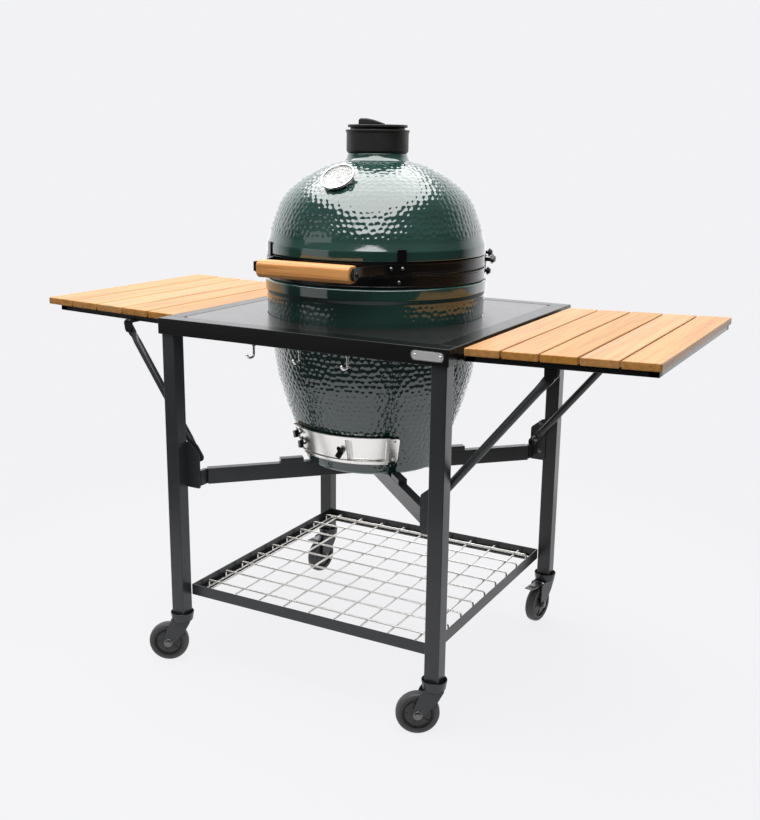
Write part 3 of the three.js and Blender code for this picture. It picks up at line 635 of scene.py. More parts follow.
# ---- Ceramic egg ----
DIMPLE_PITCH = 15
BASE_DIMPLES = [(-40, 1.1), (0, 0.5)]
DOME_DIMPLES = [(192, 0.85), (366, 0.85)]
DRAFT_OPENING = (-333, -285, 28)  # bottom, top and half its width in degrees
SHELL_STEP = 2.3
SHELL_SIDES = 720


def through(points, spacing):
    """Evenly spaced points on a smooth curve through the given ones, with the run along it."""
    points = [np.array(p, float) for p in points]
    ends = [2 * points[0] - points[1], *points, 2 * points[-1] - points[-2]]
    fine = []
    for a, b, c, d in zip(ends, ends[1:], ends[2:], ends[3:]):
        square, cube = 2 * a - 5 * b + 4 * c - d, 3 * b - a - 3 * c + d
        for t in np.linspace(0, 1, 40, endpoint=False):
            fine.append(0.5 * (2 * b + (c - a) * t + square * t**2 + cube * t**3))
    fine = np.array([*fine, points[-1]])
    run = np.concatenate([[0], np.cumsum(np.linalg.norm(np.diff(fine, axis=0), axis=1))])
    count = max(2, round(run[-1] / spacing) + 1)
    at = np.linspace(0, run[-1], count)
    return np.column_stack([np.interp(at, run, fine[:, 0]), np.interp(at, run, fine[:, 1])]), at


def dimples(curve, run, turns, depth, fade):
    """How far each place on the shell is pressed in: shallow bowls, in uneven staggered rows.

    The depth is given at some heights, as pairs of height and depth.
    """
    chance = np.random.default_rng(7)
    row_pitch = DIMPLE_PITCH * 0.87
    nearest = np.ones((len(run), len(turns)))
    for row in range(-1, int(run[-1] // row_pitch) + 3):
        centre = row * row_pitch
        number = max(12, round(2 * math.pi * np.interp(centre, run, curve[:, 0]) / DIMPLE_PITCH))
        shift = chance.uniform(-0.22, 0.22, number)
        drop = chance.uniform(-3, 3, number)
        reach = DIMPLE_PITCH * chance.uniform(0.34, 0.47, number)
        place = turns / (2 * math.pi) * number + 0.5 * (row % 2)
        close = np.abs(run - centre) < DIMPLE_PITCH
        for side in (0, 1):
            near = np.floor(place) + side
            which = near.astype(int) % number
            sideways = (place - near - shift[which]) * 2 * math.pi / number
            along = run[close, None] - centre - drop[which]
            far = (sideways * curve[close, :1]) ** 2 + along**2
            nearest[close] = np.minimum(nearest[close], far / reach[which] ** 2)
    edge = np.minimum(run, run[-1] - run)
    deepest = np.interp(curve[:, 1], *zip(*depth)) * np.clip(edge / fade, 0, 1)
    return (1 - nearest) * deepest[:, None]


def shell(name, body, slot, node, depth, curve_points, rest_of_profile, opening=None):
    """A turned ceramic wall whose curved outside is dimpled, with an opening cut through it."""
    curve, run = through(curve_points, SHELL_STEP)
    turns = np.linspace(0, 2 * math.pi, SHELL_SIDES, endpoint=False)
    pressed = dimples(curve, run, turns, depth, fade=9)
    slope = np.gradient(curve, axis=0)
    outward = np.column_stack([slope[:, 1], -slope[:, 0]])
    outward /= np.linalg.norm(outward, axis=1)[:, None]
    smooth = np.array([tuple(p) for p in rest_of_profile])
    radius = np.vstack([curve[:, :1] - pressed * outward[:, :1], np.repeat(smooth[:, :1], SHELL_SIDES, 1)])
    height = np.vstack([curve[:, 1:] - pressed * outward[:, 1:], np.repeat(smooth[:, 1:], SHELL_SIDES, 1)])
    places = np.stack([radius * np.sin(turns), -radius * np.cos(turns), height], axis=2)
    rows = len(places)
    degrees = (np.degrees(turns) + 180) % 360 - 180
    faces = []
    for j in range(rows):
        k = (j + 1) % rows
        here, there = j * SHELL_SIDES, k * SHELL_SIDES
        middle = (height[j, 0] + height[k, 0]) / 2
        for i in range(SHELL_SIDES):
            m = (i + 1) % SHELL_SIDES
            if opening and opening[0] < middle < opening[1] and abs(degrees[i] + 0.3) < opening[2]:
                if abs(height[j, 0] - height[k, 0]) < opening[1] - opening[0]:
                    continue
            faces.append((here + i, here + m, there + m, there + i))
    wall = bmesh.new()
    mesh = bpy.data.meshes.new(name)
    mesh.from_pydata(places.reshape(-1, 3).tolist(), [], faces)
    wall.from_mesh(mesh)
    bpy.data.meshes.remove(mesh)
    bmesh.ops.remove_doubles(wall, verts=wall.verts[:], dist=1e-4)
    whole = Form(wall, *(doorway(opening) if opening else ()))
    faced(whole.mesh)
    whole.piece(name, body, slot, GLAZE, node, crease=50)


def doorway(opening):
    """The four walls of the draft opening, through the thickness of the base."""
    low, high, half = opening
    depth = {low: (150.5, 184.5), high: (178, 201)}
    walls = []
    for height, (inner, outer) in depth.items():
        under, over = height - 1, height + 1
        profile = [(inner, under), (outer, under), (outer, over), (inner, over)]
        walls.append(lathe(profile, 24, -half, half))
    for side in (-1, 1):
        profile = [(depth[low][0], low), (depth[low][1], low)]
        profile += [(depth[high][1], high), (depth[high][0], high)]
        start, end = sorted([side * half, side * (half + 0.6)])
        walls.append(lathe(profile, 1, start, end))
    return walls


def egg():
    """The ceramic shells with their seals, and the clay, grate and grid inside."""
    base_curve = [
        (176.5, -362), (186, -333), (203, -284), (222, -234), (236, -187), (246, -150), (257, -80),
        (267, -5), (268.6, 30), (269.4, 52),
    ]
    base_rest = [
        *soft([(269.4, 54), (273, 62), (273, 86), (264, 88.4), (264, 115.3), (239, 115.3)], 2.5, 4, False),
        (238, 20), (229, -100), (214, -170), (192, -240), (180, -268), (178, -285), (163, -309),
        (150.5, -333), (140, -346), (0, -346), (0, -377.6),
        *soft([(150, -377.6), (165, -377.6), (174, -371), (176.5, -363)], 4, 4, False),
    ]
    base = (BASE_DIMPLES, base_curve, base_rest, DRAFT_OPENING)
    shell("ceramic_base", "stand", "glaze", "base_shell", *base)
    dome_curve = [
        (261.5, 192), (257, 210), (248.5, 234), (240, 257), (229.5, 277), (215.5, 294),
        (200, 307.6), (168.5, 330), (125, 352), (96, 362), (81, 366.4),
    ]
    neck = [(79.5, 367), (75, 372.5), (73, 379), (72.4, 383.2), (70, 383.6), (70, 392)]
    neck += [(48, 392), (48, 362)]
    ring = [(239, 123), (264, 123), (264, 147.5), (268.6, 149.5), (268.6, 171), (262.5, 187)]
    dome_rest = [
        *soft(neck, 2, 2, False),
        (96, 340), (150, 312), (180, 288), (206, 256), (226, 214), (237, 170),
        *soft(ring, 2.5, 4, False),
    ]
    shell("ceramic_dome", "dome", "glaze", "dome_shell", DOME_DIMPLES, dome_curve, dome_rest)

    for name, body, node in (("base_seal", "stand", "base_gasket"), ("dome_seal", "dome", "dome_gasket")):
        low, high = node_box(node)[0].z, node_box(node)[1].z
        profile = soft([(241, low), (263.2, low), (263.2, high), (241, high)], 1.2)
        Form(lathe(profile, 180)).piece(name, body, "felt", FELT, node)

    firebox = [
        (50, -345), (125, -345), (150, -306), (178, -236), (200, -160), (207, -100), (207, -62),
        (184, -62), (184, -100), (174, -162), (150, -236), (127, -290.6), (106, -290.6),
        (104, -304), (50, -304),
    ]
    clay = Form(lathe(soft(firebox, 2.5), 96))
    clay.piece("firebox_lining", "stand", "fireclay", FIRECLAY, "firebox")
    ring = [(212, -61.6), (222, 20), (222, 70), (198, 70), (198, 20), (186, -61.6)]
    Form(lathe(soft(ring, 5), 96)).piece("fire_ring_lining", "stand", "fireclay", FIRECLAY, "fire_ring")

    grate = Form(lathe(soft([(96, -290), (121, -290), (121, -284), (96, -284)], 1.5), 64))
    for x in range(-90, 91, 15):
        reach = math.sqrt(100**2 - x**2) + 4
        grate.add(box((x - 3, -reach, -289.5), (x + 3, reach, -284.5), 1))
    grate.piece("charcoal_grate", "stand", "cast_iron", CAST_IRON, "fire_grate")

    low, high = (corner.z for corner in node_box("cooking_grid"))
    rim = [(221, low), (228, low), (228, high), (221, high)]
    grid = Form(lathe(soft(rim, 1.5), 120))
    for i in range(-8, 9):
        y = i * 24
        reach = math.sqrt(221.5**2 - y**2)
        grid.add(box((-reach, y - 4, low + 0.1), (reach, y + 4, high - 0.1), 1.5))
    for x in (-76, 76):
        grid.add(box((x - 4, -207, low + 0.4), (x + 4, 207, high - 0.8), 1.2))
    grid.piece("steel_cooking_grid", "stand", "stainless", WIRE, "cooking_grid")


# ---- Bands, hinge and handle ----
HINGE_Y = (node_box("hinge_pin")[0].y + node_box("hinge_pin")[1].y) / 2
HINGE_Z = (node_box("hinge_pin")[0].z + node_box("hinge_pin")[1].z) / 2
HINGE_HALF = node_box("hinge_pin")[1].x
ROD_HALF = 180
BOLT_ANGLE = 41


def band_ring(low, high):
    """A steel hoop with rolled edges."""
    profile = [(264.6, low), (267.8, low), (267.8, low + 3.5), (267, low + 4.5), (267, high - 4.5)]
    profile += [(267.8, high - 3.5), (267.8, high), (264.6, high)]
    return lathe(soft(profile, 0.6, 2), 240)


def radial(radius_from, radius_to, angle, height):
    return around(radius_from, angle, height), around(radius_to, angle, height)


def hinge_rod(y, z):
    """A rod across the back of a band, with a nut and a washer at each end."""
    parts = [rod((-ROD_HALF, y, z), (ROD_HALF, y, z), 4.5)]
    for side in (-1, 1):
        parts += hex_bolt((side * (ROD_HALF - 8), y, z), (side * (ROD_HALF - 1), y, z), 8)
    return parts


def bands():
    """The two steel bands with their hinge, bolts and spring."""
    lower = Form(band_ring(90, 117), *hinge_rod(300, 83))
    upper = Form(band_ring(121, 147), *hinge_rod(308, 131))
    low_cheek = [(213, 90), (290, 76), (306, 74), (312, 84), (313, 112), (304, 126), (290, 124)]
    low_cheek += [(236, 116.5), (213, 116.5)]
    high_cheek = [(218.5, 123), (238, 122), (292, 101), (309, 104), (316, 128), (308, 141), (218.5, 146)]
    for side in (-1, 1):
        lower.add(across_x(prism(soft(low_cheek, 5, 4), 4, 0.8), side * 160 - 2))
        lower.add(rod((side * 155, HINGE_Y, HINGE_Z), (side * 165, HINGE_Y, HINGE_Z), 10.5, 28))
        upper.add(across_x(prism(soft(high_cheek, 5, 4), 4, 0.8), side * 152 - 2))
        turn = turned(side * BOLT_ANGLE)
        tab = [(-10.5, 145.5), (10.5, 145.5), (10.5, 177.8), (-10.5, 177.8)]
        upper.add(across_y(prism(soft(tab, 2.5), 3.2), -268.7), place=turn)
        upper.add(box((-10.5, -271.8, 145.4), (10.5, -264.8, 147.2), 0.5), place=turn)
    lower.piece("lower_band", "stand", "black_steel", BLACK_STEEL, "base_band")
    upper.piece("upper_band", "dome", "black_steel", BLACK_STEEL, "dome_band")

    # Round-headed bolts that clamp the bands and the handle's arms.
    clamp = Form()
    arms = Form()
    for side in (-1, 1):
        clamp.add(dome_head(*radial(267.4, 271.5, side * 40, 104), 5))
        for angle in (35.8, 41.3):
            arms.add(dome_head(*radial(272.4, 277.5, side * angle, 135), 5))
    clamp.piece("lower_band_bolts", "stand", "black_steel", DARK_BOLT)
    arms.piece("handle_arm_bolts", "dome", "black_steel", DARK_BOLT)

    pin = Form(rod((-HINGE_HALF, HINGE_Y, HINGE_Z), (HINGE_HALF, HINGE_Y, HINGE_Z), 5))
    for side in (-1, 1):
        nut = [(side * (HINGE_HALF - inset), HINGE_Y, HINGE_Z) for inset in (9, 1)]
        pin.add(*hex_bolt(*nut, 9.8))
        pin.add(rod((side * 166, HINGE_Y, HINGE_Z), (side * 182, HINGE_Y, HINGE_Z), 7.5, 24))
    pin.piece("hinge_bolt", "stand", "zinc", DARK_BOLT, "hinge_pin")

    turns, pitch, points = 52, 5.5, 12
    coil = []
    for i in range(turns * points + 1):
        turn = 2 * math.pi * i / points
        x = -143 + pitch * i / points
        coil.append((x, HINGE_Y + 9 * math.cos(turn), HINGE_Z + 9 * math.sin(turn)))
    Form(tube(coil, 2.1, 8)).piece("lift_spring", "stand", "zinc", DARK_BOLT, "hinge_spring")


GRIP_LOW, GRIP_HIGH = node_box("handle_grip")
GRIP_Y = (GRIP_LOW.y + GRIP_HIGH.y) / 2
GRIP_Z = (GRIP_LOW.z + GRIP_HIGH.z) / 2
GRIP_HALF = GRIP_HIGH.x


def handle():
    """The wooden grip, and the two flat arms that hold it to the upper band."""
    half = (GRIP_HIGH.z - GRIP_LOW.z) / 2
    flat = half - 8
    section = [(-half, -flat), (-flat, -half), (flat, -half), (half, -flat)]
    section += [(-y, -z) for y, z in section]
    outline = [(y + GRIP_Y, z + GRIP_Z) for y, z in soft_pairs(section, 3.5, 4)]
    grip = Form(across_x(prism(outline, 2 * GRIP_HALF, 3, 4), -GRIP_HALF))
    grip.piece("wooden_grip", "dome", "grip_wood", GRIP_WOOD, "handle_grip")
    for side, node in ((-1, "handle_bracket_left"), (1, "handle_bracket_right")):
        line = [(129, GRIP_Y - 14), (129, GRIP_Y + 18)]
        line += [tuple(around(272.4, 33, 0).xy)]
        line += [tuple(around(270.9, angle, 0).xy) for angle in (36, 38, 40, 42, 44, 46)]
        line = soft(line, 14, 5, closed=False)
        part = bmesh.new()
        rings = []
        for i, point in enumerate(line):
            along = (line[min(i + 1, len(line) - 1)] - line[max(i - 1, 0)]).normalized()
            across = Vector((-along.y, along.x)) * 2
            ring = []
            for offset, height in ((-1, 123), (1, 123), (1, 145), (-1, 145)):
                place = point + across * offset
                ring.append(part.verts.new((side * place.x, place.y, height)))
            rings.append(ring)
        faced(skin(part, rings))
        corners = [e for e in part.edges if e.is_manifold and e.calc_face_angle(0) > 1]
        bmesh.ops.bevel(part, geom=corners, offset=0.8, segments=2, profile=0.5, affect="EDGES")
        at = [(side * x, GRIP_Y, GRIP_Z) for x in (GRIP_HALF + 0.3, 129)]
        name = "handle_arm_left" if side < 0 else "handle_arm_right"
        screw = dome_head((side * 130.6, GRIP_Y, GRIP_Z), (side * 134.5, GRIP_Y, GRIP_Z), 6)
        Form(part, rod(*at, 13, 32, 1), screw).piece(name, "dome", "black_steel", BLACK_STEEL, node)


# ---- Thermometer ----
DIAL_TILT = math.radians(49)
DIAL_RADIUS = node_box("thermometer_case")[1].x


def thermometer():
    """The dial, built on its own tilted face: Z is out of the face and Y is up it."""
    normal = Vector((0, -math.cos(DIAL_TILT), math.sin(DIAL_TILT)))
    up = Vector((0, math.sin(DIAL_TILT), math.cos(DIAL_TILT)))
    low, high = node_box("thermometer_lens")
    centre = (low + high) / 2 + normal * 1.3
    face = Matrix.Translation(centre) @ Matrix((Vector((1, 0, 0)), up, normal)).transposed().to_4x4()
    rim = DIAL_RADIUS
    bezel = [
        (0, -7), (rim - 3, -7), (rim - 0.5, -5), (rim, -3), (rim, -1.2), (rim - 1.2, 0.2),
        (rim - 3, 0.2), (rim - 4.2, -1.6), (rim - 4.2, -4), (0, -4),
    ]
    case = Form(lathe(bezel, 72), place=face)
    case.add(lathe([(0, -85), (3.2, -83), (3.2, -12), (6, -11), (6, -6.5), (0, -6.5)], 20), place=face)
    case.piece("dial_case", "dome", "zinc", CHROME, "thermometer_case")
    disc = Form(lathe([(0, -4), (rim - 4.4, -4), (rim - 4.4, -3.7), (0, -3.7)], 64), place=face)
    disc.piece("dial_face", "dome", "zinc", DIAL_WHITE)

    ink = Form()
    for i in range(41):
        turn = turned(135 - 270 * i / 40)
        major = i % 5 == 0
        inner = rim - (11 if major else 8.5)
        wide = 0.55 if major else 0.3
        ink.add(box((-wide, inner, -3.72), (wide, rim - 6, -3.55), 0), place=face @ turn)
    for i in range(9):
        letter = bpy.data.curves.new("number", "FONT")
        letter.body = str(50 * i)
        letter.size = 6
        letter.align_x = "CENTER"
        letter.align_y = "CENTER"
        letter.extrude = 0.06
        holder = in_scene("number", letter)
        bpy.context.view_layer.update()
        shape = bpy.data.meshes.new_from_object(holder)
        part = bmesh.new()
        part.from_mesh(shape)
        turn = math.radians(135 - 270 * i / 8)
        spot = Matrix.Translation((-math.sin(turn) * (rim - 16), math.cos(turn) * (rim - 16), -3.6))
        ink.add(part, place=face @ spot)
        bpy.data.objects.remove(holder)
        bpy.data.meshes.remove(shape)
        bpy.data.curves.remove(letter)
    ink.piece("dial_marks", "dome", "zinc", DIAL_INK)

    pointer = [(-1.3, -8), (1.3, -8), (1.1, 0), (0.35, 27), (-0.35, 27), (-1.1, 0)]
    hand = prism(pointer, 0.5, 0.1)
    hand.transform(turned(20) @ Matrix.Translation((0, 0, -3.3)))
    needle = Form(hand, place=face)
    needle.add(lathe([(0, -3.4), (3, -3.4), (3, -2.7), (2, -2.3), (0, -2.2)], 24), place=face)
    needle.piece("dial_needle", "needle", "needle_paint", NEEDLE, "thermometer_needle")
    lens = [(0, -2), (rim - 3.6, -2), (rim - 3.6, -1.2), (rim * 0.5, -0.2), (0, 0.1)]
    Form(lathe(lens, 64), place=face).piece("dial_lens", "dome", "dial_glass", GLASS, "thermometer_lens")


# ---- Vent ----
def vent():
    """The cast collar on the chimney, and the turning disc with its wedge handle."""
    collar = [
        (54, 392.6), (70.6, 392.6), (70.6, 384.4), (72.5, 384.4), (75, 389), (75, 431), (77, 434),
        (77, 438), (66, 438), (66, 443), (54, 443),
    ]
    body = Form(lathe(soft(collar, 1.2), 96))
    body.add(rod((50, 34, 436), (50, 34, 450.4), 4, 16))
    body.piece("cast_collar", "dome", "cast_iron", CAST_IRON, "vent_collar")
    plate = [(0, 443.5), (71, 443.5), (72, 444.5), (72, 448.6), (70.6, 450), (0, 450)]
    disc = Form(lathe(plate, 96))
    wedge = [(-46, 449), (18, 449), (18, 452), (6, 457), (-10, 462), (-26, 464.9), (-42, 464.9), (-46, 461)]
    part = across_y(prism(soft(wedge, 4, 4), 26, 4, 4), 13)
    disc.add(part, place=turned(28))
    disc.piece("cast_disc", "vent_disc", "cast_iron", CAST_IRON, "vent_disc")


# ---- Draft door ----
DRAFT_BOTTOM, DRAFT_TOP = -345, -272
DRAFT_END = 37
TRACK_WALL, TRACK_LIP, TRACK_DEPTH = (-4.2, -2.9), (2.8, 4), (-4.2, 4)


def draft_radius(height):
    return 188 + (height - DRAFT_BOTTOM) * 26 / (DRAFT_TOP - DRAFT_BOTTOM)


def draft_piece(heights, depths, angles, sides=None):
    """A curved plate that follows the body's taper."""
    (low, high), (inner, outer), (start, end) = heights, depths, angles
    section = ((low, inner), (low, outer), (high, outer), (high, inner))
    profile = [(draft_radius(z) + depth, z) for z, depth in section]
    return lathe(profile, sides or max(1, round((end - start) / 1.2)), start, end)


def draft_flange(side):
    """The riveted flange at an end of the track, with its outer corners rounded, bent round the body."""
    low, high, inner, outer, corner = DRAFT_BOTTOM + 4.5, DRAFT_TOP - 4.5, 37.5, 46, 2.2
    outline = [(inner, low), (outer - corner, low)]
    arc = ((0.5, 0.87), (0.87, 0.5), (1, 0))
    outline += [(outer - corner * (1 - s), low + 7 * (1 - c)) for s, c in arc]
    outline += [(x, high - (z - low)) for x, z in reversed(outline)]
    plate = prism(outline, 1.8, 0.4)
    for vertex in plate.verts:
        angle, height, depth = vertex.co
        vertex.co = around(draft_radius(height) - 3.4 + depth, side * angle, height)
    return faced(plate)


def draft_knob(angle, height, lean=45):
    """A square block, leaning by an angle, on a short stem with a flat finger behind it."""
    stem = rod(*radial(draft_radius(height) + 0.8, draft_radius(height) + 11, angle, height), 2.5, 12)
    place = Matrix.Translation(around(draft_radius(height) + 14, angle, height))
    place = place @ turned(angle)
    block = box((-7, -4.5, -9), (7, 4.5, 9), 1.4)
    block.transform(place @ turned(lean, "Y"))
    finger = across_y(prism(stadium(6, 4), 3, 0.6), 8)
    finger.transform(place @ turned(65, "Y") @ Matrix.Translation((-8, 0, 0)))
    return [stem, block, finger]


def draft():
    """The track of the draft door, the solid door with its knobs, and the screen."""
    ends = (-DRAFT_END - 2, DRAFT_END + 2)
    tall = (DRAFT_BOTTOM, DRAFT_TOP)
    rails = Form(draft_piece((DRAFT_BOTTOM + 4, DRAFT_TOP - 4), TRACK_WALL, (12, DRAFT_END + 1)))
    for edge, inward in ((DRAFT_BOTTOM, 1), (DRAFT_TOP, -1)):
        heights = sorted((edge, edge + 8 * inward))
        rails.add(draft_piece(heights, TRACK_WALL, ends), draft_piece(heights, TRACK_LIP, ends))
        rails.add(draft_piece(sorted((edge, edge + 1.4 * inward)), TRACK_DEPTH, ends))
    for side in (-1, 1):
        stop = sorted((side * DRAFT_END, side * (DRAFT_END + 2)))
        rails.add(draft_piece(tall, TRACK_DEPTH, stop, 2), draft_flange(side))
        for height in (DRAFT_BOTTOM + 13, DRAFT_TOP - 13):
            start, end = radial(draft_radius(height) - 1.6, draft_radius(height) + 1.8, side * 42.6, height)
            rails.add(dome_head(start, end, 4))
    rails.piece("draft_track", "stand", "stainless", STAINLESS, "draft_frame")

    heights = (DRAFT_BOTTOM + 8.6, DRAFT_TOP - 8.6)
    door = Form(draft_piece(heights, (0.3, 1.4), (-DRAFT_END + 0.5, 9.5)))
    door.piece("draft_door_plate", "draft_door", "stainless", STAINLESS, "draft_door")
    knobs = Form(*draft_knob(5.5, -319, 30), *draft_knob(-33, -293, -18), *draft_knob(-30.5, -318, -8))
    knobs.piece("draft_door_knobs", "draft_door", "black_steel", BLACK_STEEL)
    screen()


def screen():
    """A curved plate full of round holes, made cell by cell."""
    low, high = DRAFT_BOTTOM + 8.6, DRAFT_TOP - 8.6
    start, end = -DRAFT_END + 0.5, 13.4
    columns, rows, corners = 34, 11, 8
    part = bmesh.new()

    def spot(u, v, depth):
        height = low + (high - low) * v / rows
        return around(draft_radius(height) - 1.8 + depth, start + (end - start) * u / columns, height)

    for i in range(columns):
        for j in range(rows):
            outer, inner = [], []
            for k in range(corners):
                turn = 2 * math.pi * (k + 0.5) / corners
                c, s = math.cos(turn), math.sin(turn)
                reach = 0.5 / max(abs(c), abs(s))
                outer.append((i + 0.5 + c * reach, j + 0.5 + s * reach))
                inner.append((i + 0.5 + c * 0.3, j + 0.5 + s * 0.3))
            front = [part.verts.new(spot(u, v, 0.9)) for u, v in outer]
            hole = [part.verts.new(spot(u, v, 0.9)) for u, v in inner]
            deep = [part.verts.new(spot(u, v, 0)) for u, v in inner]
            back = [part.verts.new(spot(u, v, 0)) for u, v in outer]
            for k in range(corners):
                m = (k + 1) % corners
                part.faces.new((front[k], front[m], hole[m], hole[k]))
                part.faces.new((hole[k], hole[m], deep[m], deep[k]))
                part.faces.new((deep[k], deep[m], back[m], back[k]))
    bmesh.ops.remove_doubles(part, verts=part.verts[:], dist=0.01)
    Form(faced(part)).piece("draft_screen_plate", "draft_screen", "stainless", STAINLESS, "draft_screen")


# ---- Table ----
SHELF_PIVOT_X, SHELF_PIVOT_Z = 387, -28
SHELF_RISE = math.radians(1.5)
SLAT_WIDTH, SLAT_THICKNESS = 78.4, 17
# Each shelf's outer end, and its braces' upper and lower pivots as (x, z), with x away from the middle.
SHELF_SIDES = {
    "left": {"sign": -1, "end": 763, "top": (519, -49), "foot": (321, -338)},
    "right": {"sign": 1, "end": 797, "top": (578, -50), "foot": (321, -362)},
}
BADGE_X = 332
BADGE_Z = -18
HOOK_PITCH = 124
PLATE_HALF = node_box("insert_plate")[1].x
PLATE_HOLE = 268.8
PLATE_STEPS = 160
CROSS_LOW, CROSS_TOP = -418, -378
TRAY_HALF = node_box("tray_frame")[1].x
TRAY_LOW, TRAY_TOP = node_box("tray_frame")[0].z, node_box("tray_frame")[1].z


def table_rim():
    """The top's deep apron, with the ledge for the plate and the shelves' lugs."""
    rim = PLATE_HALF + 0.6
    edge = TABLE_HALF
    top = Form(
        box((-edge, -edge, APRON_LOW), (edge, -rim, 0), 1.6, 3),
        box((-edge, rim, APRON_LOW), (edge, edge, 0), 1.6, 3),
        box((-edge, -rim - 0.5, APRON_LOW), (-rim, rim + 0.5, 0), 1.6, 3),
        box((rim, -rim - 0.5, APRON_LOW), (edge, rim + 0.5, 0), 1.6, 3),
        box((-rim - 1, -rim - 1, -8.4), (-322, rim + 1, -4.8), 0.5),
        box((322, -rim - 1, -8.4), (rim + 1, rim + 1, -4.8), 0.5),
        box((-rim - 1, -rim - 1, -8.4), (rim + 1, -322, -4.8), 0.5),
        box((-rim - 1, 322, -8.4), (rim + 1, rim + 1, -4.8), 0.5),
    )
    for x in (-1, 1):
        for y in (-1, 1):
            lug = ((x * (edge - 1), y * 297, SHELF_PIVOT_Z - 6), (x * 390, y * 303, SHELF_PIVOT_Z + 6))
            top.add(box(*lug, 1))
            pin = [(x * SHELF_PIVOT_X, y * reach, SHELF_PIVOT_Z) for reach in (302, 318)]
            top.add(rod(*pin, 3.2, 16))
    top.piece("table_rim", "stand", "powder_coat", APRON_COAT, "top_frame")


def table_plate():
    """A square plate with a round hole, whose upper edge is eased."""
    plate = bmesh.new()
    rings = []
    for i in range(PLATE_STEPS):
        turn = 2 * math.pi * (i + 0.5) / PLATE_STEPS
        c, s = math.cos(turn), math.sin(turn)
        edge = PLATE_HALF / max(abs(c), abs(s))
        section = [(PLATE_HOLE, -1.2), (PLATE_HOLE * 1.003, -0.5), (edge, -0.5)]
        section += [(edge, -4.5), (PLATE_HOLE, -4.5)]
        rings.append([plate.verts.new((c * r, s * r, z)) for r, z in section])
    plate = Form(faced(skin(plate, rings, True)))
    plate.piece("table_plate", "stand", "plate_coat", PLATE_COAT, "insert_plate")


def egg_cross():
    """The two crossed bars under the egg, with stops for its foot."""
    cross = Form()
    for turn in (45, 135):
        place = turned(turn)
        cross.add(box((-430, -11, CROSS_LOW), (430, 11, CROSS_TOP), 1.6, 3), place=place)
        for side in (-1, 1):
            stop = box((side * 188, -11, CROSS_TOP - 1), (side * 247, 11, CROSS_TOP + 12), 1.2)
            cross.add(stop, place=place)
    for x in (-1, 1):
        for y in (-1, 1):
            cross.add(box((x * 300, y * 306, CROSS_LOW + 1), (x * 311, y * 333.7, CROSS_TOP - 1), 1))
    cross.piece("egg_cross", "stand", "powder_coat", FRAME_COAT, "cross_frame")


def tray_frame():
    half = TRAY_HALF
    tray = Form()
    for turn in (0, 90, 180, 270):
        place = turned(turn)
        upright = box((-half, -half, TRAY_LOW), (half, -half + 3, TRAY_TOP), 0.9)
        flat = box((-half + 1, -half + 1, TRAY_LOW), (half - 1, -half + 25, TRAY_LOW + 3), 0.9)
        tray.add(upright, flat, place=place)
    tray.piece("tray_angle_frame", "stand", "powder_coat", FRAME_COAT, "tray_frame")


def badge():
    low = node_box("badge_plate")[0]
    place = Matrix.Translation((BADGE_X, 0, BADGE_Z))
    blank = Form(across_y(prism(stadium(28.5, 10.5, 14), 1.3, 0.5), low.y + 2.5), place=place)
    blank.piece("blank_badge", "stand", "badge", CHROME, "badge_plate")
    inset = Form(across_y(prism(stadium(27.5, 9, 14), 0.4, 0.15), low.y + 1.25), place=place)
    inset.piece("badge_inset", "stand", "badge", BADGE_STEEL)
    rivets = Form()
    for side in (-1, 1):
        x = BADGE_X + side * 29
        rivets.add(dome_head((x, low.y + 1, BADGE_Z), (x, low.y - 0.3, BADGE_Z), 3.4))
    rivets.piece("badge_rivets", "stand", "badge", CHROME)


def tool_hooks():
    """A bar under the front apron, with three hooks that hang from it."""
    low, high = node_box("hook_rail")
    bar = box((low.x, -366, APRON_LOW - 3.3), (high.x, -354, APRON_LOW - 0.3), 0.6)
    Form(bar).piece("hook_bar", "stand", "black_steel", BLACK_STEEL, "hook_rail")
    hooks = Form()
    for i in (-1, 0, 1):
        x = (low.x + high.x) / 2 + i * HOOK_PITCH
        line = [(x, -360, APRON_LOW - 2), (x, -360, -69), (x, -380, -70), (x, -387, -61)]
        hooks.add(tube(soft(line, 7, 6, False), 2.7, 14))
        hooks.add(rod((x, -360, APRON_LOW - 3), (x, -360, APRON_LOW - 8), 4.2, 16))
        hooks.add(dome_head((x, -386.4, -61.8), (x, -388.6, -59.2), 3.3))
    hooks.piece("tool_hooks", "stand", "black_steel", HOOK_STEEL)


def table():
    table_rim()
    table_plate()
    for corner, (x, y) in CORNERS.items():
        leg(corner, x, y)
    egg_cross()
    tray_frame()
    wires()
    badge()
    tool_hooks()


def leg(corner, x, y):
    """A leg at a corner, given by the signs of x and y, with its bracket plate and bolts."""
    foot = -764
    centre = Vector((x * LEG_CENTRE, y * LEG_CENTRE, 0))
    half = LEG_WIDTH / 2
    form = Form(
        box(centre + Vector((-half, -half, foot)), centre + Vector((half, half, APRON_LOW - 0.3)), 2.2, 3),
        rod(centre + Vector((0, 0, foot - 15)), centre + Vector((0, 0, foot)), 8),
    )
    plate = [(x * 302, -424), (x * 345, -424), (x * 345, -309), (x * 334, -309), (x * 302, -335)]
    form.add(across_y(prism(soft(plate, 5, 4), 4.5, 0.8), y * 336.25 + 2.25))
    form.piece(f"{corner}_post", "stand", "powder_coat", FRAME_COAT, f"{corner}_leg")
    foot_x, foot_z = SHELF_SIDES["left" if x < 0 else "right"]["foot"]
    pins = Form(rod((x * foot_x, y * 335, foot_z), (x * foot_x, y * 313, foot_z), 4.5, 16))
    pins.add(dome_head((x * foot_x, y * 317, foot_z), (x * foot_x, y * 312, foot_z), 8))
    for height in (-398, -412 if x < 0 else -320):
        pins.add(*hex_bolt((x * 330, y * 334, height), (x * 330, y * 329.8, height), 5))
    pins.piece(f"{corner}_post_bolts", "stand", "powder_coat", DARK_BOLT)


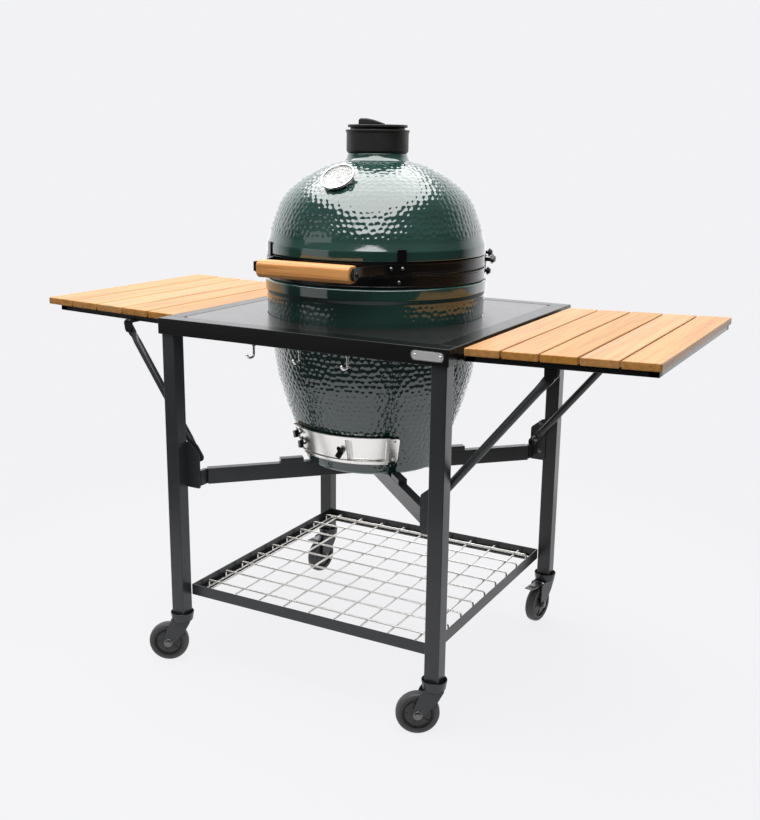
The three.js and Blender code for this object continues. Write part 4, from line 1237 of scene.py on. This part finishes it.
def wires():
    """The tray's mat: wires both ways, with their ends bent down to a square of wire."""
    radius = 2.5
    reach = 322
    top = TRAY_TOP - 4
    foot = TRAY_LOW + 3.3 + radius
    pitch = 72
    mat = Form()
    for i in range(-4, 5):
        at = i * pitch
        for swap, level in ((False, top), (True, top - 2 * radius + 0.4)):
            line = [(-reach, at, foot), (-reach, at, level), (reach, at, level), (reach, at, foot)]
            if swap:
                line = [(y, x, z) for x, y, z in line]
            mat.add(tube(soft(line, 6, 5, False), radius, 12))
    square = [(-reach, -reach, foot), (reach, -reach, foot), (reach, reach, foot), (-reach, reach, foot)]
    mat.add(tube(soft(square, 10, 5), radius, 12, closed=True))
    mat.piece("tray_wires", "stand", "stainless", WIRE, "wire_grid")


# ---- Shelves ----
def risen(sign):
    """The turn about a shelf's pivot by which it rises outwards."""
    there = Matrix.Translation((sign * SHELF_PIVOT_X, 0, SHELF_PIVOT_Z))
    return there @ Matrix.Rotation(-sign * SHELF_RISE, 4, "Y") @ there.inverted()


def shelves():
    """Each shelf's rails, five planks and two struts."""
    for side, facts in SHELF_SIDES.items():
        sign, (top_x, top_z), (foot_x, foot_z) = facts["sign"], facts["top"], facts["foot"]
        body = f"{side}_shelf"
        place = risen(sign)
        end = sign * facts["end"]
        half = node_box(f"{side}_shelf_slat_1")[1].y - 4
        under, over, wide = -31.5, -19.8, 22
        start = sign * 394
        rails = Form(
            box((start, -half, under), (start + sign * wide, half, over), 1.2),
            box((end - sign * wide, -half, under), (end, half, over), 1.2),
        )
        for y in (-1, 1):
            rails.add(box((start, y * half, under), (end, y * (half - wide), over), 1.2))
            rails.add(box((start, y * (half - wide), under), (start + sign * 6, y * 314, over), 1))
            pivot = [(sign * SHELF_PIVOT_X, y * reach, SHELF_PIVOT_Z) for reach in (306, 314)]
            rails.add(rod(*pivot, 6.2, 20))
            low = (sign * SHELF_PIVOT_X, y * 306, SHELF_PIVOT_Z - 5.8)
            rails.add(box(low, (sign * 395, y * 314, SHELF_PIVOT_Z + 5.8), 0.8))
            outer = (sign * top_x - 12, y * (half - wide + 2), under - 2.5)
            rails.add(box(outer, (sign * top_x + 12, y * 327.5, under + 0.6), 0.7))
            drop = top_z - under
            ear = [(-12, 0), (12, 0), (12, drop - 2), (7, drop - 11), (-7, drop - 11), (-12, drop - 2)]
            outline = [(sign * top_x + a, under + 0.6 + b) for a, b in soft_pairs(ear, 4)]
            rails.add(across_y(prism(outline, 4, 0.7), y * 325.5 + 2))
        rails.mesh.transform(place)
        rails.piece(f"{side}_shelf_rails", body, "powder_coat", APRON_COAT, f"{side}_shelf_frame")
        for i in range(1, 6):
            node = f"{side}_shelf_slat_{i}"
            low, high = node_box(node)
            middle = Matrix.Translation((low + high) / 2) @ Matrix.Rotation(-sign * SHELF_RISE, 4, "Y")
            corner = Vector((SLAT_WIDTH / 2, (high.y - low.y) / 2, SLAT_THICKNESS / 2))
            board = Form(box(-corner, corner, 2.4, 3), place=middle)
            board.piece(f"{side}_plank_{i}", body, "teak", SLAT_WOOD, node)

        top_x, _, top_z = place @ Vector((sign * top_x, 0, top_z))
        top_x *= sign
        run = Vector((sign * (top_x - foot_x), 0, top_z - foot_z))
        length = run.length
        turn = -math.atan2(run.z, run.x)
        for end_name, y in (("front", -320), ("back", 320)):
            place = Matrix.Translation((sign * foot_x, y, foot_z)) @ Matrix.Rotation(turn, 4, "Y")
            stations = [(12, 10.8, 2.5), (20, 10.6, 3.2), (30, 9.9, 7), (40, 9.5, 9.5)]
            stations += [(length - x, w, t) for x, w, t in reversed(stations)]
            form = Form(loft(stations), place=place)
            for x in (0, length):
                eye = across_y(prism([(x + a, b) for a, b in stadium(13, 11)], 5, 0.8), 2.5)
                form.add(eye, place=place)
            node = f"{side}_{end_name}_brace"
            form.piece(f"{side}_{end_name}_strut", node, "powder_coat", FRAME_COAT, node)
            bolt = Form(dome_head((length, -2.5, 0), (length, -6, 0), 7), place=place)
            bolt.add(dome_head((length, 2.5, 0), (length, 5, 0), 7), place=place)
            bolt.piece(f"{side}_{end_name}_strut_bolt", node, "powder_coat", DARK_BOLT)


# ---- Casters ----
WHEEL_RADIUS = 50
TRAIL = 36
TRAIL_ANGLES = {"front": 208.6, "back": 261}


def casters():
    """Four casters, trailing as if the grill had just been wheeled to its place."""
    for corner, (x, y) in CORNERS.items():
        row = corner.split("_")[0]
        turn = turned(TRAIL_ANGLES[row])
        place = Matrix.Translation((x * LEG_CENTRE, y * LEG_CENTRE, -TOP)) @ turn
        caster(corner, place, row == "back")


def caster(corner, place, brake):
    """A caster with its wheel trailing along its own X, placed by a matrix on the floor."""
    cup = [(8.6, 106), (22, 106), (26, 110), (29.5, 131), (28.2, 132), (25, 119), (8.6, 119)]
    fork = Form(lathe(soft(cup, 1.2, 2), 48), place=place)
    outline = [
        (-24, 112),
        (42 if brake else 26, 112),
        (46 if brake else 34, 98),
        (48, 58), (46, 44), (36, 38), (26, 44), (-8, 82),
    ]
    for side in (-1, 1):
        start = 18.5 if side > 0 else -15.5
        fork.add(across_y(prism(soft(outline, 7, 5), 3, 0.8), start), place=place)
    fork.piece(f"{corner}_fork", f"{corner}_caster", "black_steel", FRAME_COAT, f"{corner}_caster_fork")
    axle = Form(rod((TRAIL, -20, WHEEL_RADIUS), (TRAIL, 20, WHEEL_RADIUS), 5, 20), place=place)
    for side in (-1, 1):
        ends = [(TRAIL, side * y, WHEEL_RADIUS) for y in (18.6, 23.5)]
        axle.add(*hex_bolt(*ends, 8), place=place)
    axle.piece(f"{corner}_axle", f"{corner}_caster", "zinc", DARK_BOLT)

    flat = Matrix.Translation((TRAIL, 0, WHEEL_RADIUS)) @ turned(90, "X")
    tread = [(40, -12.6), (45.5, -12.4), (48.6, -9.6), (50, -5)]
    tread += [(radius, -z) for radius, z in reversed(tread)]
    rubber = Form(lathe(soft(tread, 1.5, 3), 72), place=place @ flat)
    rubber.piece(f"{corner}_tread", f"{corner}_wheel", "tyre", TYRE, f"{corner}_wheel")
    disc = [(5.6, -13), (13, -13), (15, -10.5), (30, -9.5), (32, -7.5), (34, -7.5)]
    disc += [(35.5, -12.5), (40.5, -12.8)]
    disc += [(radius, -z) for radius, z in reversed(disc)]
    core = Form(lathe(soft(disc, 0.8, 2), 72), place=place @ flat)
    for i in range(5):
        turn = turned(72 * i)
        for side in (-1, 1):
            core.add(box((14, -1.6, side * 9), (31, 1.6, side * 11.6), 0.8), place=place @ flat @ turn)
    core.piece(f"{corner}_core", f"{corner}_wheel", "tyre", WHEEL_CORE)

    if brake:
        outline = [(31.5, 103), (38, 101.8), (90, 107), (91, 111), (60, 109.5), (31.5, 111)]
        lever = Form(across_y(prism(soft(outline, 1.5, 3), 24, 1.4, 3), 12), place=place)
        for i in range(4):
            x, z = 68 + 5 * i, 110.4 + 0.12 * i
            lever.add(rod((x, -10, z), (x, 10, z), 0.9, 8), place=place)
        name = f"{corner}_brake"
        lever.piece(f"{corner}_pedal", name, "zinc", DARK_BOLT, f"{corner}_brake_lever")


studio()
egg()
bands()
handle()
thermometer()
vent()
draft()
table()
shelves()
casters()
